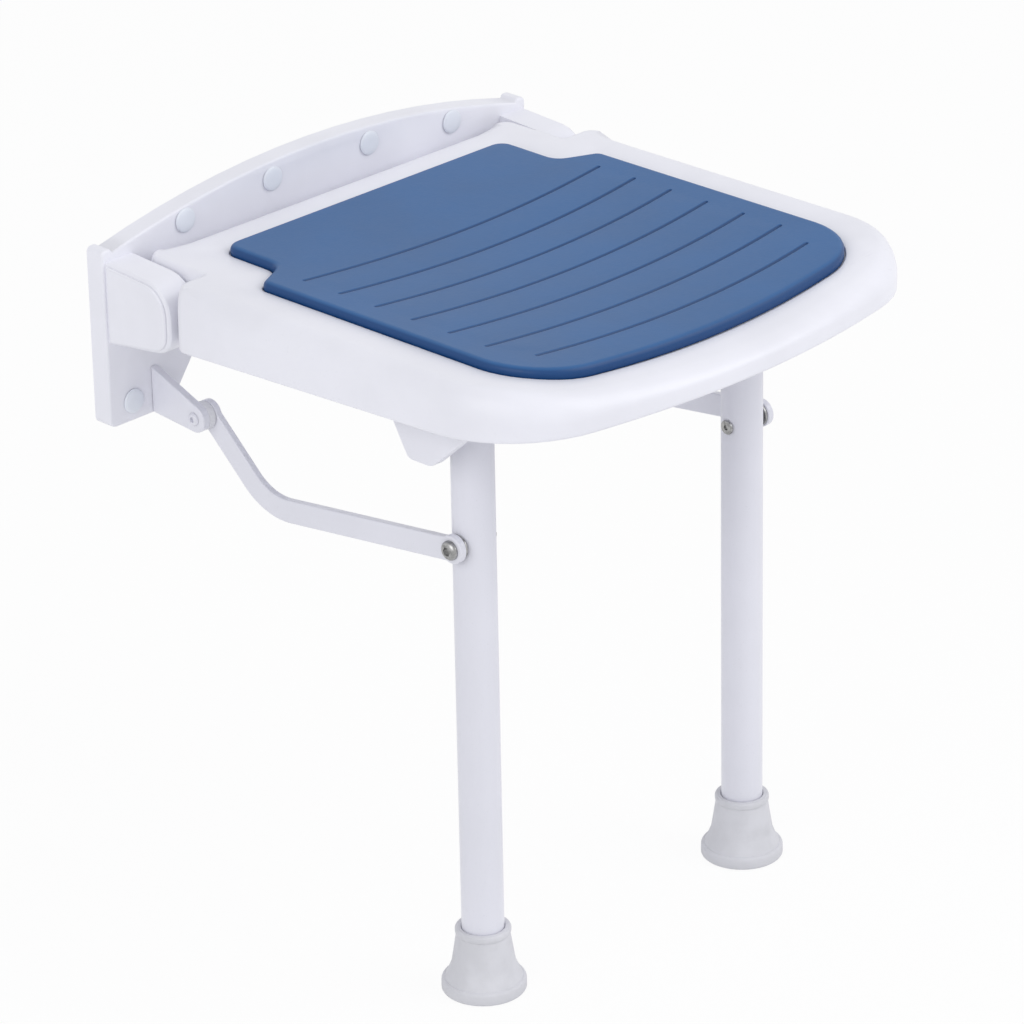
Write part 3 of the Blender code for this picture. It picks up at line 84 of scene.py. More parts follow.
def shade(name, default, description):
    """A colour that the user can change."""
    return bpy.props.FloatVectorProperty(
        name=name, default=default, description=description, subtype="COLOR", min=0, max=1
    )


class SeatSizes(bpy.types.PropertyGroup):
    half_width: length("Half width", SEAT_HIGH.x, "From the seat's centre line to its side")
    reach: length("Reach", -SEAT_LOW.y, "How far the seat stands out from the wall")
    front_bow: length("Front bow", 0.031, "How far the middle of the front stands before its ends")
    corner_radius: length("Corner radius", 0.077, "Radius of the two front corners seen from above")
    nose_radius: length("Edge radius", 0.0135, "Radius of the rounded upper edge")
    wall: length("Wall", 0.004, "Thickness of the moulding")
    deck_level: length("Deck level", 0.017, "Height of the deck above the hinge axis")
    rim_rise: length("Rim rise", 0.005, "How much the border stands above the deck")
    dish_depth: length("Dish depth", 0.005, "How much the middle of the seat is hollowed")


class PadSizes(bpy.types.PropertyGroup):
    half_width: length("Half width", PAD_HIGH.x, "From the pad's centre line to its side")
    reach: length("Reach", -PAD_LOW.y, "Distance from the wall to the front of the pad")
    thickness: length("Thickness", 0.008, "Thickness of the foam")
    edge_radius: length("Edge radius", 0.004, "Radius of the rolled upper edge")
    groove_count: bpy.props.IntProperty(
        name="Grooves",
        description="Number of drainage grooves",
        default=7,
    )
    groove_first: length("First groove", 0.1403, "From the wall to the ends of the first groove")
    groove_pitch: length("Groove pitch", 0.0322, "Distance from one groove to the next")
    groove_width: length("Groove width", 0.0027, "Width of a groove at the surface")
    groove_depth: length("Groove depth", 0.0012, "Depth of a groove")
    puff: length("Puff", 0.0003, "How much the foam swells between two grooves")


class LegSizes(bpy.types.PropertyGroup):
    radius: length("Tube radius", (TUBE_HIGH.x - TUBE_LOW.x) / 2, "Outer radius of a leg")
    wall: length("Tube wall", 0.0015, "Thickness of a leg's tube")
    foot_radius: length("Foot radius", (FOOT_HIGH.x - FOOT_LOW.x) / 2, "Radius of a foot at its flange")
    neck_radius: length("Neck radius", 0.0176, "Radius of a foot below its lip")
    link_width: length("Link width", 0.016, "Width of the flat bar of a link")


class Colours(bpy.types.PropertyGroup):
    plastic: shade("Moulded plastic", (0.84, 0.84, 0.905), "White of the seat and the wall bracket")
    cap: shade("Caps", (0.78, 0.81, 0.88), "White of the caps over the wall screws")
    coat: shade("Powder coat", (0.77, 0.77, 0.84), "White of the legs, the links and their lugs")
    # The pad's top is painted paler than this blue as painted light and sheen, and its grooves darker
    # as painted shade.
    foam: shade("Pad", (0.005, 0.055, 0.190), "Blue of the pad's edges")
    rubber: shade("Rubber", (0.67, 0.67, 0.71), "Pale rubber of the feet")
    nylon: shade("Nylon", (0.78, 0.78, 0.82), "White nylon of the bushes and sleeves")
    steel: shade("Steel", (0.36, 0.36, 0.36), "Plated steel of the bolts, screws and pins")


# Selecting and placing


def deselect():
    """Leaves edit mode with nothing selected."""
    active = bpy.context.object
    if active is not None and active.mode != "OBJECT":
        bpy.ops.object.mode_set(mode="OBJECT")
    bpy.ops.object.select_all(action="DESELECT")


def activate(piece):
    deselect()
    piece.select_set(True)
    bpy.context.view_layer.objects.active = piece


def pick(piece, rule):
    """Selects, in edit mode, the edges that a rule picks."""
    bpy.ops.mesh.select_mode(type="EDGE")
    bpy.ops.mesh.select_all(action="DESELECT")
    mesh = bmesh.from_edit_mesh(piece.data)
    for edge in mesh.edges:
        edge.select_set(rule(edge))
    mesh.select_flush_mode()
    bmesh.update_edit_mesh(piece.data)


def both_ends(rule):
    """A rule for edges from a rule for points, which both their ends keep."""
    return lambda edge: all(rule(vertex.co) for vertex in edge.verts)


def spot(axis, along, first, second):
    """A point at one distance along an axis and at two distances across it."""
    if axis == "X":
        return Vector((along, first, second))
    if axis == "Y":
        return Vector((first, along, second))
    return Vector((first, second, along))


def ease(low, high, value):
    """0 below low, 1 above high, and an even S between them."""
    share = min(max((value - low) / (high - low), 0), 1)
    return share * share * (3 - 2 * share)


# Modelling


def begin_ring(name, points):
    """A circle laid on an outline, in edit mode with all of it selected."""
    deselect()
    bpy.ops.mesh.primitive_circle_add(vertices=len(points), radius=0.1)
    piece = bpy.context.object
    piece.name = name
    piece.data.name = name
    for vertex, point in zip(piece.data.vertices, points):
        vertex.co = point
    bpy.ops.object.mode_set(mode="EDIT")
    bpy.ops.mesh.select_mode(type="EDGE")
    bpy.ops.mesh.select_all(action="SELECT")
    return piece


def next_ring(piece, points):
    """Extrudes the selected ring and lays the new one on an outline."""
    bpy.ops.mesh.extrude_edges_move()
    mesh = bmesh.from_edit_mesh(piece.data)
    fresh = [vertex for vertex in mesh.verts if vertex.select]
    for vertex, point in zip(fresh, points):
        vertex.co = point
    bmesh.update_edit_mesh(piece.data)


def close_up(piece, smooth=35):
    """Merges seams and poles, turns the faces outwards and shades them."""
    activate(piece)
    bpy.ops.object.mode_set(mode="EDIT")
    bpy.ops.mesh.select_all(action="SELECT")
    bpy.ops.mesh.remove_doubles(threshold=0.000002)
    bpy.ops.mesh.normals_make_consistent(inside=False)
    bpy.ops.object.mode_set(mode="OBJECT")
    bpy.ops.object.shade_smooth_by_angle(angle=math.radians(smooth))
    return piece


def lofted(name, rings, smooth=35):
    """A skin through rings of points that have the same number of points."""
    piece = begin_ring(name, rings[0])
    for ring in rings[1:]:
        next_ring(piece, ring)
    return close_up(piece, smooth)


def turned(name, profile, axis, centre, steps=48, loop=False, smooth=35):
    """A turned piece from (radius, place along the axis) pairs."""
    index = "XYZ".index(axis)
    first, second = (centre[other] for other in range(3) if other != index)
    rings = []
    for radius, along in profile + (profile[:1] if loop else []):
        ring = []
        for step in range(steps):
            angle = 2 * math.pi * step / steps
            across = first + radius * math.cos(angle)
            up = second + radius * math.sin(angle)
            ring.append(spot(axis, along, across, up))
        rings.append(ring)
    return lofted(name, rings, smooth)


def slab(name, outline, axis, low, high):
    """A flat outline, filled and drawn out along an axis."""
    piece = begin_ring(name, [spot(axis, low, p[0], p[1]) for p in outline])
    bpy.ops.mesh.edge_face_add()
    step = spot(axis, high - low, 0, 0)
    bpy.ops.mesh.extrude_region_move(TRANSFORM_OT_translate={"value": step})
    return close_up(piece)


def sleeve(name, centre, bore, radius, edge, low, high):
    """A ring round an axis along X, with its outer edges broken."""
    profile = [
        (bore, low),
        (radius - edge, low),
        (radius, low + edge),
        (radius, high - edge),
        (radius - edge, high),
        (bore, high),
    ]
    return turned(name, profile, "X", centre, loop=True)


def soften(piece, rule, width, segments):
    """Bevels the edges that a rule picks."""
    activate(piece)
    bpy.ops.object.mode_set(mode="EDIT")
    pick(piece, rule)
    bpy.ops.mesh.bevel(offset=width, segments=segments, affect="EDGES", profile=0.5)
    return close_up(piece)


def block(place, size):
    """A box to cut with."""
    deselect()
    bpy.ops.mesh.primitive_cube_add(size=1, location=place)
    bpy.context.object.scale = size
    bpy.ops.object.transform_apply(location=True, rotation=False, scale=True)
    return bpy.context.object


def rod(place, radius, depth, sides):
    """A bar along X to cut with."""
    deselect()
    turn = (0, math.pi / 2, 0)
    bpy.ops.mesh.primitive_cylinder_add(
        vertices=sides, radius=radius, depth=depth, location=place, rotation=turn
    )
    bpy.ops.object.transform_apply(location=True, rotation=True, scale=True)
    return bpy.context.object


def cut(piece, tools):
    """Cuts tools out of a piece and removes them."""
    for tool in tools:
        activate(piece)
        change = piece.modifiers.new("cut", "BOOLEAN")
        change.operation = "DIFFERENCE"
        change.solver = "EXACT"
        change.object = tool
        bpy.ops.object.modifier_apply(modifier=change.name)
        bpy.data.objects.remove(tool, do_unlink=True)
    return piece


def join(pieces, name):
    """Makes one piece of several."""
    activate(pieces[0])
    for piece in pieces:
        piece.select_set(True)
    bpy.ops.object.join()
    pieces[0].name = name
    pieces[0].data.name = name
    return pieces[0]


def other_side(piece, name):
    """A mirror image of a piece across the seat's centre line."""
    activate(piece)
    bpy.ops.object.duplicate()
    twin = bpy.context.object
    twin.name = name
    twin.data.name = name
    twin.scale.x = -1
    bpy.ops.object.transform_apply(location=False, rotation=False, scale=True)
    bpy.ops.object.mode_set(mode="EDIT")
    bpy.ops.mesh.select_all(action="SELECT")
    bpy.ops.mesh.normals_make_consistent(inside=False)
    bpy.ops.object.mode_set(mode="OBJECT")
    return twin


def settle(piece, body, nodes, slot):
    """Puts a finished piece on its body, in place of its CAD nodes."""
    piece.data.materials.clear()
    piece.data.materials.append(MATERIALS[slot])
    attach(piece, body)
    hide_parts(*nodes)


def settle_pair(piece, name, body, node, slot):
    """Settles a right-hand piece and its mirror image on the left."""
    twin = other_side(piece, name + "_left")
    piece.name = name + "_right"
    piece.data.name = piece.name
    fixed = body in ("wall", "seat")
    settle(piece, body if fixed else body + "_right", [node + "_right"], slot)
    settle(twin, body if fixed else body + "_left", [node + "_left"], slot)


# Outlines in plan and in side view


def rounded(corners, steps=8, divisions=None):
    """Points round a shape given by corners (across, up, radius)."""
    count = len(corners)
    arcs = []
    for index in range(count):
        before = Vector(corners[index - 1][:2])
        here = Vector(corners[index][:2])
        after = Vector(corners[(index + 1) % count][:2])
        radius = corners[index][2]
        if radius <= 0:
            arcs.append([here])
            continue
        back = (before - here).normalized()
        ahead = (after - here).normalized()
        half = math.acos(max(-1, min(1, back.dot(ahead)))) / 2
        reach = radius / math.tan(half)
        for neighbour in (corners[index - 1], corners[(index + 1) % count]):
            share = 0.48 if neighbour[2] > 0 else 0.96
            reach = min(reach, share * (Vector(neighbour[:2]) - here).length)
        radius = reach * math.tan(half)
        centre = here + (back + ahead).normalized() * radius / math.sin(half)
        start = here + back * reach - centre
        finish = here + ahead * reach - centre
        turn = math.atan2(start.cross(finish), start.dot(finish))
        arc = []
        for step in range(steps + 1):
            angle = turn * step / steps
            across = start.x * math.cos(angle) - start.y * math.sin(angle)
            up = start.x * math.sin(angle) + start.y * math.cos(angle)
            arc.append(centre + Vector((across, up)))
        arcs.append(arc)
    points = []
    for index, arc in enumerate(arcs):
        points.extend(arc)
        pieces = divisions[index] if divisions else 1
        following = arcs[(index + 1) % count][0]
        for piece in range(1, pieces):
            points.append(arc[-1].lerp(following, piece / pieces))
    return points


def inset(corners, amount, tightest=0.0005):
    """The same corners with every side moved in; they run anticlockwise."""
    count = len(corners)
    moved = []
    for index in range(count):
        before = Vector(corners[index - 1][:2])
        here = Vector(corners[index][:2])
        after = Vector(corners[(index + 1) % count][:2])
        radius = corners[index][2]
        first = (here - before).normalized()
        second = (after - here).normalized()
        first_normal = Vector((-first.y, first.x))
        second_normal = Vector((-second.y, second.x))
        turn = first.cross(second)
        spread = 1 + first_normal.dot(second_normal)
        place = here + (first_normal + second_normal) * amount / spread
        if turn > 0 and radius > 0:
            radius = max(radius - amount, tightest)
        moved.append((place.x, place.y, radius))
    return moved


def mirrored(half):
    """A whole outline from the corners of its right half, in order."""
    return half + [(-across, up, radius) for across, up, radius in reversed(half)]


def bowed(corners, half_width, bow, steps):
    """The same corners with a bow in place of the straight front side."""
    end_x, end_y, radius = corners[0]
    half = []
    for step in range(steps + 1):
        x = end_x * 0.6 * step / steps
        half.append((x, end_y - bow + bow * (x / half_width) ** 2, 0))
    x, y, _ = half[-1]
    slope = 2 * bow * x / half_width ** 2
    corner = (end_x, y + slope * (end_x - x), radius)
    other = (-end_x, corner[1], radius)
    rest = [(-across, up, 0) for across, up, _ in reversed(half[1:])]
    return [*half, corner, *corners[1:-1], other, *rest]


# Materials


class Wire:
    """A number, colour or vector on its way through a material's nodes."""

    def __init__(self, finish, socket):
        self.finish = finish
        self.socket = socket

    def math(self, operation, first, second):
        settings = {"operation": operation}
        return self.finish.node("ShaderNodeMath", settings, {0: first, 1: second})

    def __add__(self, other):
        return self.math("ADD", self, other)

    def __radd__(self, other):
        return self.math("ADD", other, self)

    def __sub__(self, other):
        return self.math("SUBTRACT", self, other)

    def __rsub__(self, other):
        return self.math("SUBTRACT", other, self)

    def __mul__(self, other):
        return self.math("MULTIPLY", self, other)

    def __rmul__(self, other):
        return self.math("MULTIPLY", other, self)

    def between(self, low, high):
        """0 below low, 1 above high, with an even S between them."""
        settings = {"interpolation_type": "SMOOTHSTEP"}
        given = {"Value": self, "From Min": low, "From Max": high}
        return self.finish.node("ShaderNodeMapRange", settings, given, "Result")


class Finish:
    """A material and the nodes that make it."""

    def __init__(self, name):
        self.material = bpy.data.materials.new(name)
        self.material.use_nodes = True
        self.tree = self.material.node_tree
        self.shader = self.tree.nodes["Principled BSDF"]

    def node(self, kind, settings=None, given=None, output=0):
        """A node with its settings made first and its sockets then given."""
        made = self.tree.nodes.new(kind)
        for key, value in (settings or {}).items():
            setattr(made, key, value)
        for key, value in (given or {}).items():
            if isinstance(value, Wire):
                self.tree.links.new(value.socket, made.inputs[key])
            else:
                made.inputs[key].default_value = value
        return Wire(self, made.outputs[output])

    def set(self, key, value):
        """Gives one of the shader's own sockets a value or a link."""
        if isinstance(value, Wire):
            self.tree.links.new(value.socket, self.shader.inputs[key])
        else:
            self.shader.inputs[key].default_value = value

    def place(self):
        return self.node("ShaderNodeTexCoord", output="Object")

    def parts(self, vector):
        """The three numbers of a vector."""
        split = self.node("ShaderNodeSeparateXYZ", None, {0: vector})
        outputs = split.socket.node.outputs
        return [Wire(self, outputs[index]) for index in range(3)]

    def stretched(self, vector, scale):
        return self.node("ShaderNodeMapping", None, {"Vector": vector, "Scale": scale})

    def noise(self, vector, scale, detail=2.0, roughness=0.5):
        given = {"Vector": vector, "Scale": scale, "Detail": detail, "Roughness": roughness}
        return self.node("ShaderNodeTexNoise", None, given, "Fac")

    def cells(self, vector, scale):
        settings = {"feature": "SMOOTH_F1"}
        given = {"Vector": vector, "Scale": scale}
        return self.node("ShaderNodeTexVoronoi", settings, given, "Distance")

    def mix(self, share, first, second):
        """A colour between two others."""
        colours = [c if isinstance(c, Wire) else (*c, 1) for c in (first, second)]
        given = {0: share, 6: colours[0], 7: colours[1]}
        settings = {"data_type": "RGBA"}
        return self.node("ShaderNodeMix", settings, given, 2)

    def bump(self, height, distance, strength=1.0, normal=None):
        given = {"Height": height, "Distance": distance, "Strength": strength}
        if normal is not None:
            given["Normal"] = normal
        return self.node("ShaderNodeBump", None, given, "Normal")


def tone(colour, factor):
    """A colour made lighter or darker."""
    return tuple(min(channel * factor, 1) for channel in colour)


def moulded_finish(name, colour):
    """Moulded plastic: soft mottling, a fine spark texture and faint scuffs."""
    finish = Finish(name)
    place = finish.place()
    clouds = finish.noise(place, 14, 3)
    specks = finish.noise(place, 260, 2)
    streaks = finish.noise(finish.stretched(place, (6, 90, 90)), 4, 3)
    scuffs = streaks.between(0.62, 0.75) * clouds.between(0.45, 0.65)
    base = finish.mix(clouds.between(0.35, 0.65), tone(colour, 0.975), tone(colour, 1.02))
    worn = finish.mix(scuffs * 0.35, base, tone(colour, 0.93))
    finish.set("Base Color", worn)
    finish.set("Roughness", 0.36 + (specks - 0.5) * 0.06 + scuffs * 0.1)
    skin = finish.noise(place, 1500, 2)
    waves = finish.bump(finish.noise(place, 9, 1), 0.0012, 0.5)
    finish.set("Normal", finish.bump(skin, 0.00003, 0.6, waves))
    finish.set("Specular IOR Level", 0.45)
    return finish.material


def coated_finish(name, colour):
    """Powder-coated metal: orange peel, and a faint sheen over it."""
    finish = Finish(name)
    place = finish.place()
    clouds = finish.noise(place, 10, 2)
    peel = finish.noise(place, 420, 2, 0.6)
    specks = finish.noise(place, 900, 1).between(0.70, 0.74)
    base = finish.mix(clouds.between(0.3, 0.7), tone(colour, 0.97), tone(colour, 1.02))
    finish.set("Base Color", finish.mix(specks * 0.25, base, tone(colour, 0.8)))
    finish.set("Roughness", 0.27 + peel * 0.10)
    finish.set("Normal", finish.bump(peel, 0.00006, 0.7))
    finish.set("Coat Weight", 0.15)
    finish.set("Coat Roughness", 0.15)
    return finish.material


def cap_finish(name, colour):
    """Cap plastic, smoother than the mouldings."""
    finish = Finish(name)
    place = finish.place()
    clouds = finish.noise(place, 60, 2)
    grain = finish.noise(place, 1300, 2)
    finish.set("Base Color", finish.mix(clouds, tone(colour, 0.96), tone(colour, 1.04)))
    finish.set("Roughness", 0.24 + clouds * 0.12)
    finish.set("Normal", finish.bump(grain, 0.00002, 0.6))
    return finish.material


def rubber_finish(name, colour):
    """Pale rubber: matt, darker in patches near the floor, with fine mould marks."""
    finish = Finish(name)
    place = finish.place()
    clouds = finish.noise(place, 45, 4)
    grain = finish.noise(place, 1100, 3)
    rings = finish.noise(finish.stretched(place, (2, 2, 160)), 6, 2)
    # Darker in patches towards the floor.
    low = 1 - finish.parts(place)[2].between(FLOOR, FLOOR + 0.012)
    darker_near_floor = low * clouds.between(0.40, 0.70) * 0.35
    base = finish.mix(clouds.between(0.35, 0.65), tone(colour, 0.95), tone(colour, 1.04))
    finish.set("Base Color", finish.mix(darker_near_floor, base, tone(colour, 0.72)))
    finish.set("Roughness", 0.52 + clouds * 0.16)
    finish.set("Normal", finish.bump(grain * 0.6 + rings * 0.4, 0.00008, 0.8))
    finish.set("Subsurface Weight", 0.08)
    finish.set("Subsurface Radius", (0.004, 0.004, 0.004))
    return finish.material


def nylon_finish(name, colour):
    """White nylon, slightly waxy."""
    finish = Finish(name)
    place = finish.place()
    clouds = finish.noise(place, 80, 3)
    grain = finish.noise(place, 1500, 2)
    finish.set("Base Color", finish.mix(clouds, tone(colour, 0.92), tone(colour, 1.05)))
    finish.set("Roughness", 0.40 + clouds * 0.15)
    finish.set("Normal", finish.bump(grain, 0.00003, 0.6))
    return finish.material


def steel_finish(name, colour):
    """Plated steel with turning marks and dull spots."""
    finish = Finish(name)
    place = finish.place()
    spots = finish.noise(place, 350, 4)
    lines = finish.noise(finish.stretched(place, (60, 900, 900)), 6, 2)
    base = finish.mix(spots.between(0.40, 0.70), tone(colour, 1.15), tone(colour, 0.70))
    finish.set("Base Color", base)
    finish.set("Metallic", 1.0)
    finish.set("Roughness", 0.24 + spots * 0.22)
    finish.set("Normal", finish.bump(lines, 0.00003, 0.5))
    return finish.material


def foam_finish(name, colour):
    """Blue skin foam: leathery grain, with painted light and sheen that make the top paler than the
    sides, and painted shade that makes the grooves darker.
    """
    finish = Finish(name)
    place = finish.place()
    # Painted light: how much a face looks up decides how much painted light and sheen it gets.
    facing = finish.node("ShaderNodeTexCoord", output="Normal")
    up = finish.parts(facing)[2]
    clouds = finish.noise(place, 16, 4)
    # Depth in a groove, read here to paint shade into the grooves.
    groove = finish.node("ShaderNodeAttribute", {"attribute_name": "groove"}, output="Fac")
    # The paler blue painted on the top, as painted light and sheen.
    pale = (colour[0] * 2.4 + 0.010, colour[1] * 1.90, colour[2] * 1.48)
    top = finish.mix(clouds.between(0.30, 0.70), pale, tone(pale, 1.10))
    # Painted light: the sides keep the darker blue, and faces that look up take the painted paler blue.
    skin = finish.mix(up.between(0.55, 0.98), colour, top)
    # Painted shade: the grooves are painted darker.
    finish.set("Base Color", finish.mix(groove * 0.75, skin, tone(colour, 0.75)))
    pores = finish.cells(place, 620)
    crease = finish.noise(place, 210, 4, 0.6)
    finish.set("Roughness", 0.36 + clouds * 0.08 + crease * 0.06)
    waves = finish.bump(finish.noise(place, 24, 2), 0.0006, 0.4)
    finish.set("Normal", finish.bump(pores * 0.6 + crease * 0.4, 0.00012, 0.55, waves))
    finish.set("Specular IOR Level", 0.36)
    return finish.material


# Finishes by the name of their slot in the record, with their colour's name
FINISHES = {
    "moulded_white": (moulded_finish, "plastic"),
    "cap_white": (cap_finish, "cap"),
    "coated_white": (coated_finish, "coat"),
    "pad_blue": (foam_finish, "foam"),
    "foot_rubber": (rubber_finish, "rubber"),
    "bush_nylon": (nylon_finish, "nylon"),
    "bright_steel": (steel_finish, "steel"),
}
MATERIALS = {}


def dress_node(name, slot):
    """A CAD node that stays gets its finish on its own slots."""
    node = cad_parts[name]
    node.data.materials.clear()
    node.data.materials.append(MATERIALS[slot])


# Wall bracket

CHEEK_INNER = 0.170
CHEEK_OUTER = 0.193
CHEEK_CORNERS = ((0.0215, 0.0175), (0.037, 0.028))
CHEEK_REACH = 0.074
UPPER_CAPS = ((0.0446, 0.0365), (0.123, 0.030))
LOWER_CAP = (0.175, -0.081)
CAP_RADIUS = 0.0083
CAP_RISE = 0.003
CAP_STEM = 0.0055
CAP_DEPTH = 0.0047
COVER_MARGIN = 0.0025
COVER_EDGE = 0.00165


def merged_copy(node, name):
    """A copy of a CAD node with its loose triangles joined into clean faces."""
    activate(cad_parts[node])
    bpy.ops.object.duplicate()
    piece = bpy.context.object
    piece.parent = None
    for key in list(piece.keys()):
        if key.startswith("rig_"):
            del piece[key]
    piece.name = name
    piece.data.name = name
    bpy.ops.object.mode_set(mode="EDIT")
    bpy.ops.mesh.select_all(action="SELECT")
    bpy.ops.mesh.remove_doubles(threshold=0.000005)
    bpy.ops.mesh.dissolve_limited(angle_limit=math.radians(0.5))
    bpy.ops.object.mode_set(mode="OBJECT")
    return piece


class SHOWERSEAT_OT_bracket(bpy.types.Operator):
    """Models the wall bracket with its two hinge cheeks and hollow back"""

    bl_idname = "showerseat.bracket"
    bl_label = "Wall Bracket"

    def execute(self, context):
        piece = merged_copy("wall_bracket", "bracket_moulding")

        def cheek_root(point):
            at_face = abs(point.y - PLATE_FACE) < 0.0002
            return at_face and abs(abs(point.x) - CHEEK_INNER) < 0.0002

        soften(piece, both_ends(cheek_root), 0.003, 5)
        close_up(piece, 32)
        settle(piece, "wall", ["wall_bracket"], "moulded_white")
        return {"FINISHED"}


class SHOWERSEAT_OT_caps(bpy.types.Operator):
    """Models the domed caps over the wall screws"""

    bl_idname = "showerseat.caps"
    bl_label = "Screw Caps"

    def execute(self, context):
        places = [(side * x, z) for x, z in (*UPPER_CAPS, LOWER_CAP) for side in (-1, 1)]
        for index, (x, z) in enumerate(sorted(places)):
            name = f"screw_cap_{index + 1}"
            profile = [(0, PLATE_FACE - CAP_RISE)]
            for step in range(1, 13):
                angle = math.pi / 2 * step / 12
                rise = CAP_RISE * (0.35 + 0.65 * math.cos(angle))
                profile.append((CAP_RADIUS * math.sin(angle), PLATE_FACE - rise))
            profile += [
                (CAP_RADIUS, PLATE_FACE - 2 * GAP),
                (CAP_RADIUS - GAP, PLATE_FACE - GAP),
                (CAP_STEM, PLATE_FACE - GAP),
                (CAP_STEM, PLATE_FACE + CAP_DEPTH),
                (0, PLATE_FACE + CAP_DEPTH),
            ]
            cap = turned(f"domed_cap_{index + 1}", profile, "Y", (x, 0, z))
            settle(cap, "wall", [name], "cap_white")
        return {"FINISHED"}


class SHOWERSEAT_OT_covers(bpy.types.Operator):
    """Models the panels on the outer sides of the hinge cheeks"""

    bl_idname = "showerseat.covers"
    bl_label = "Hinge Covers"

    def execute(self, context):
        rear, front = CHEEK_CORNERS
        corners = [
            (PLATE_FACE, -front[0], 0),
            (PLATE_FACE, rear[0], 0),
            (-CHEEK_REACH, rear[1], 0.022),
            (-CHEEK_REACH, -front[1], 0.015),
        ]
        outline = rounded(inset(corners, COVER_MARGIN), 14)
        panel = slab("cheek_cover", outline, "X", CHEEK_OUTER + GAP, COVER_OUTER)
        soften(panel, both_ends(lambda point: point.x > COVER_OUTER - HAIR), COVER_EDGE, 6)
        settle_pair(panel, "cheek_cover", "wall", "hinge_cover", "moulded_white")
        return {"FINISHED"}


# Lugs and rivets

LUG_INNER = 0.1532
LUG_OUTER = 0.1587
LINK_INNER = 0.1422
LINK_OUTER = 0.1472
LUG_END_RADIUS = 0.0095
LUG_TOP = -0.062
LUG_BOTTOM = -0.094
FLANGE_WIDTH = 0.011
FLANGE_HEIGHT = 0.017
FLANGE_FACE = PLATE_FACE - GAP - 0.0025
LUG_SCREW_END = PLATE_FACE + 0.008


def lug_outline():
    """Side view of a link lug: a wide root that narrows to a round end."""
    face = PLATE_FACE - GAP
    end = Vector((LUG_PIN.y, LUG_PIN.z))
    slope = Vector((face, LUG_TOP)) - end
    lean = math.asin(LUG_END_RADIUS / slope.length)
    start = math.atan2(slope.y, slope.x) + math.pi / 2 - lean
    points = [Vector((face, LUG_TOP))]
    for step in range(25):
        angle = start + (1.5 * math.pi - start) * step / 24
        points.append(end + LUG_END_RADIUS * Vector((math.cos(angle), math.sin(angle))))
    points.append(Vector((face, LUG_BOTTOM)))
    return points


class SHOWERSEAT_OT_lugs(bpy.types.Operator):
    """Models the angle brackets that carry the rear ends of the links"""

    bl_idname = "showerseat.lugs"
    bl_label = "Link Lugs"

    def execute(self, context):
        settle_pair(self.plate(), "link_bracket", "wall", "link_lug", "coated_white")
        settle_pair(self.screw(), "lug_fixing", "wall", "lug_screw", "bright_steel")
        settle_pair(self.rivet(), "lug_rivet", "wall", "link_rivet", "coated_white")
        low = LINK_OUTER + GAP
        high = LUG_INNER - GAP
        spacer = sleeve("rivet_spacer", LUG_PIN, 0.0033, 0.0095, 0.0005, low, high)
        settle_pair(spacer, "rivet_spacer", "wall", "link_spacer", "bush_nylon")
        dress_node("hinge_pin_left", "bright_steel")
        dress_node("hinge_pin_right", "bright_steel")
        return {"FINISHED"}

    def plate(self):
        """The upright plate, with the flange that lies on the wall bracket."""
        plate = slab("link_bracket", lug_outline(), "X", LUG_INNER, LUG_OUTER)
        soften(plate, both_ends(lambda point: point.x > LUG_OUTER - HAIR), 0.0009, 3)
        top = LUG_BOTTOM + FLANGE_HEIGHT
        corners = [
            (LUG_INNER - FLANGE_WIDTH, LUG_BOTTOM, 0.003),
            (LUG_INNER + 0.002, LUG_BOTTOM, 0),
            (LUG_INNER + 0.002, top, 0),
            (LUG_INNER - FLANGE_WIDTH, top, 0.003),
        ]
        flange = slab("flange", rounded(corners), "Y", FLANGE_FACE, PLATE_FACE - GAP)
        soften(flange, both_ends(lambda point: point.y < FLANGE_FACE + HAIR), 0.0006, 2)
        return join([plate, flange], "link_bracket")

    def screw(self):
        """The cross-slotted screw through the flange."""
        head = FLANGE_FACE - GAP
        crown = head - 0.0018
        centre = Vector((LUG_INNER - FLANGE_WIDTH / 2, 0, LUG_BOTTOM + FLANGE_HEIGHT / 2))
        profile = [
            (0, crown),
            (0.0016, crown),
            (0.0030, head - 0.0014),
            (0.0038, head - 0.0006),
            (0.0040, head),
            (0.0020, head),
            (0.0020, LUG_SCREW_END),
            (0, LUG_SCREW_END),
        ]
        screw = turned("lug_fixing", profile, "Y", centre, 32)
        place = centre + Vector((0, crown, 0))
        cut(screw, [block(place, (0.0034, 0.0016, 0.0007)), block(place, (0.0007, 0.0016, 0.0034))])
        return close_up(screw)

    def rivet(self):
        """The rivet that a link's rear end turns on, hollow in its outer end."""
        outer = LUG_OUTER + GAP
        inner = LINK_INNER - GAP
        tip = outer + 0.0018
        profile = [
            (0, tip - 0.0070),
            (0.0014, tip - 0.0066),
            (0.0017, tip - 0.0058),
            (0.0018, tip - 0.0003),
            (0.0021, tip),
            (0.0029, tip - 0.0001),
            (0.0038, tip - 0.0006),
            (0.0044, tip - 0.0014),
            (0.0045, outer),
            (0.0030, outer),
            (0.0030, inner),
            (0.0045, inner),
            (0.0044, inner - 0.0010),
            (0.0036, inner - 0.0018),
            (0, inner - 0.0018),
        ]
        return turned("lug_rivet", profile, "X", LUG_PIN, 40)


# Seat moulding

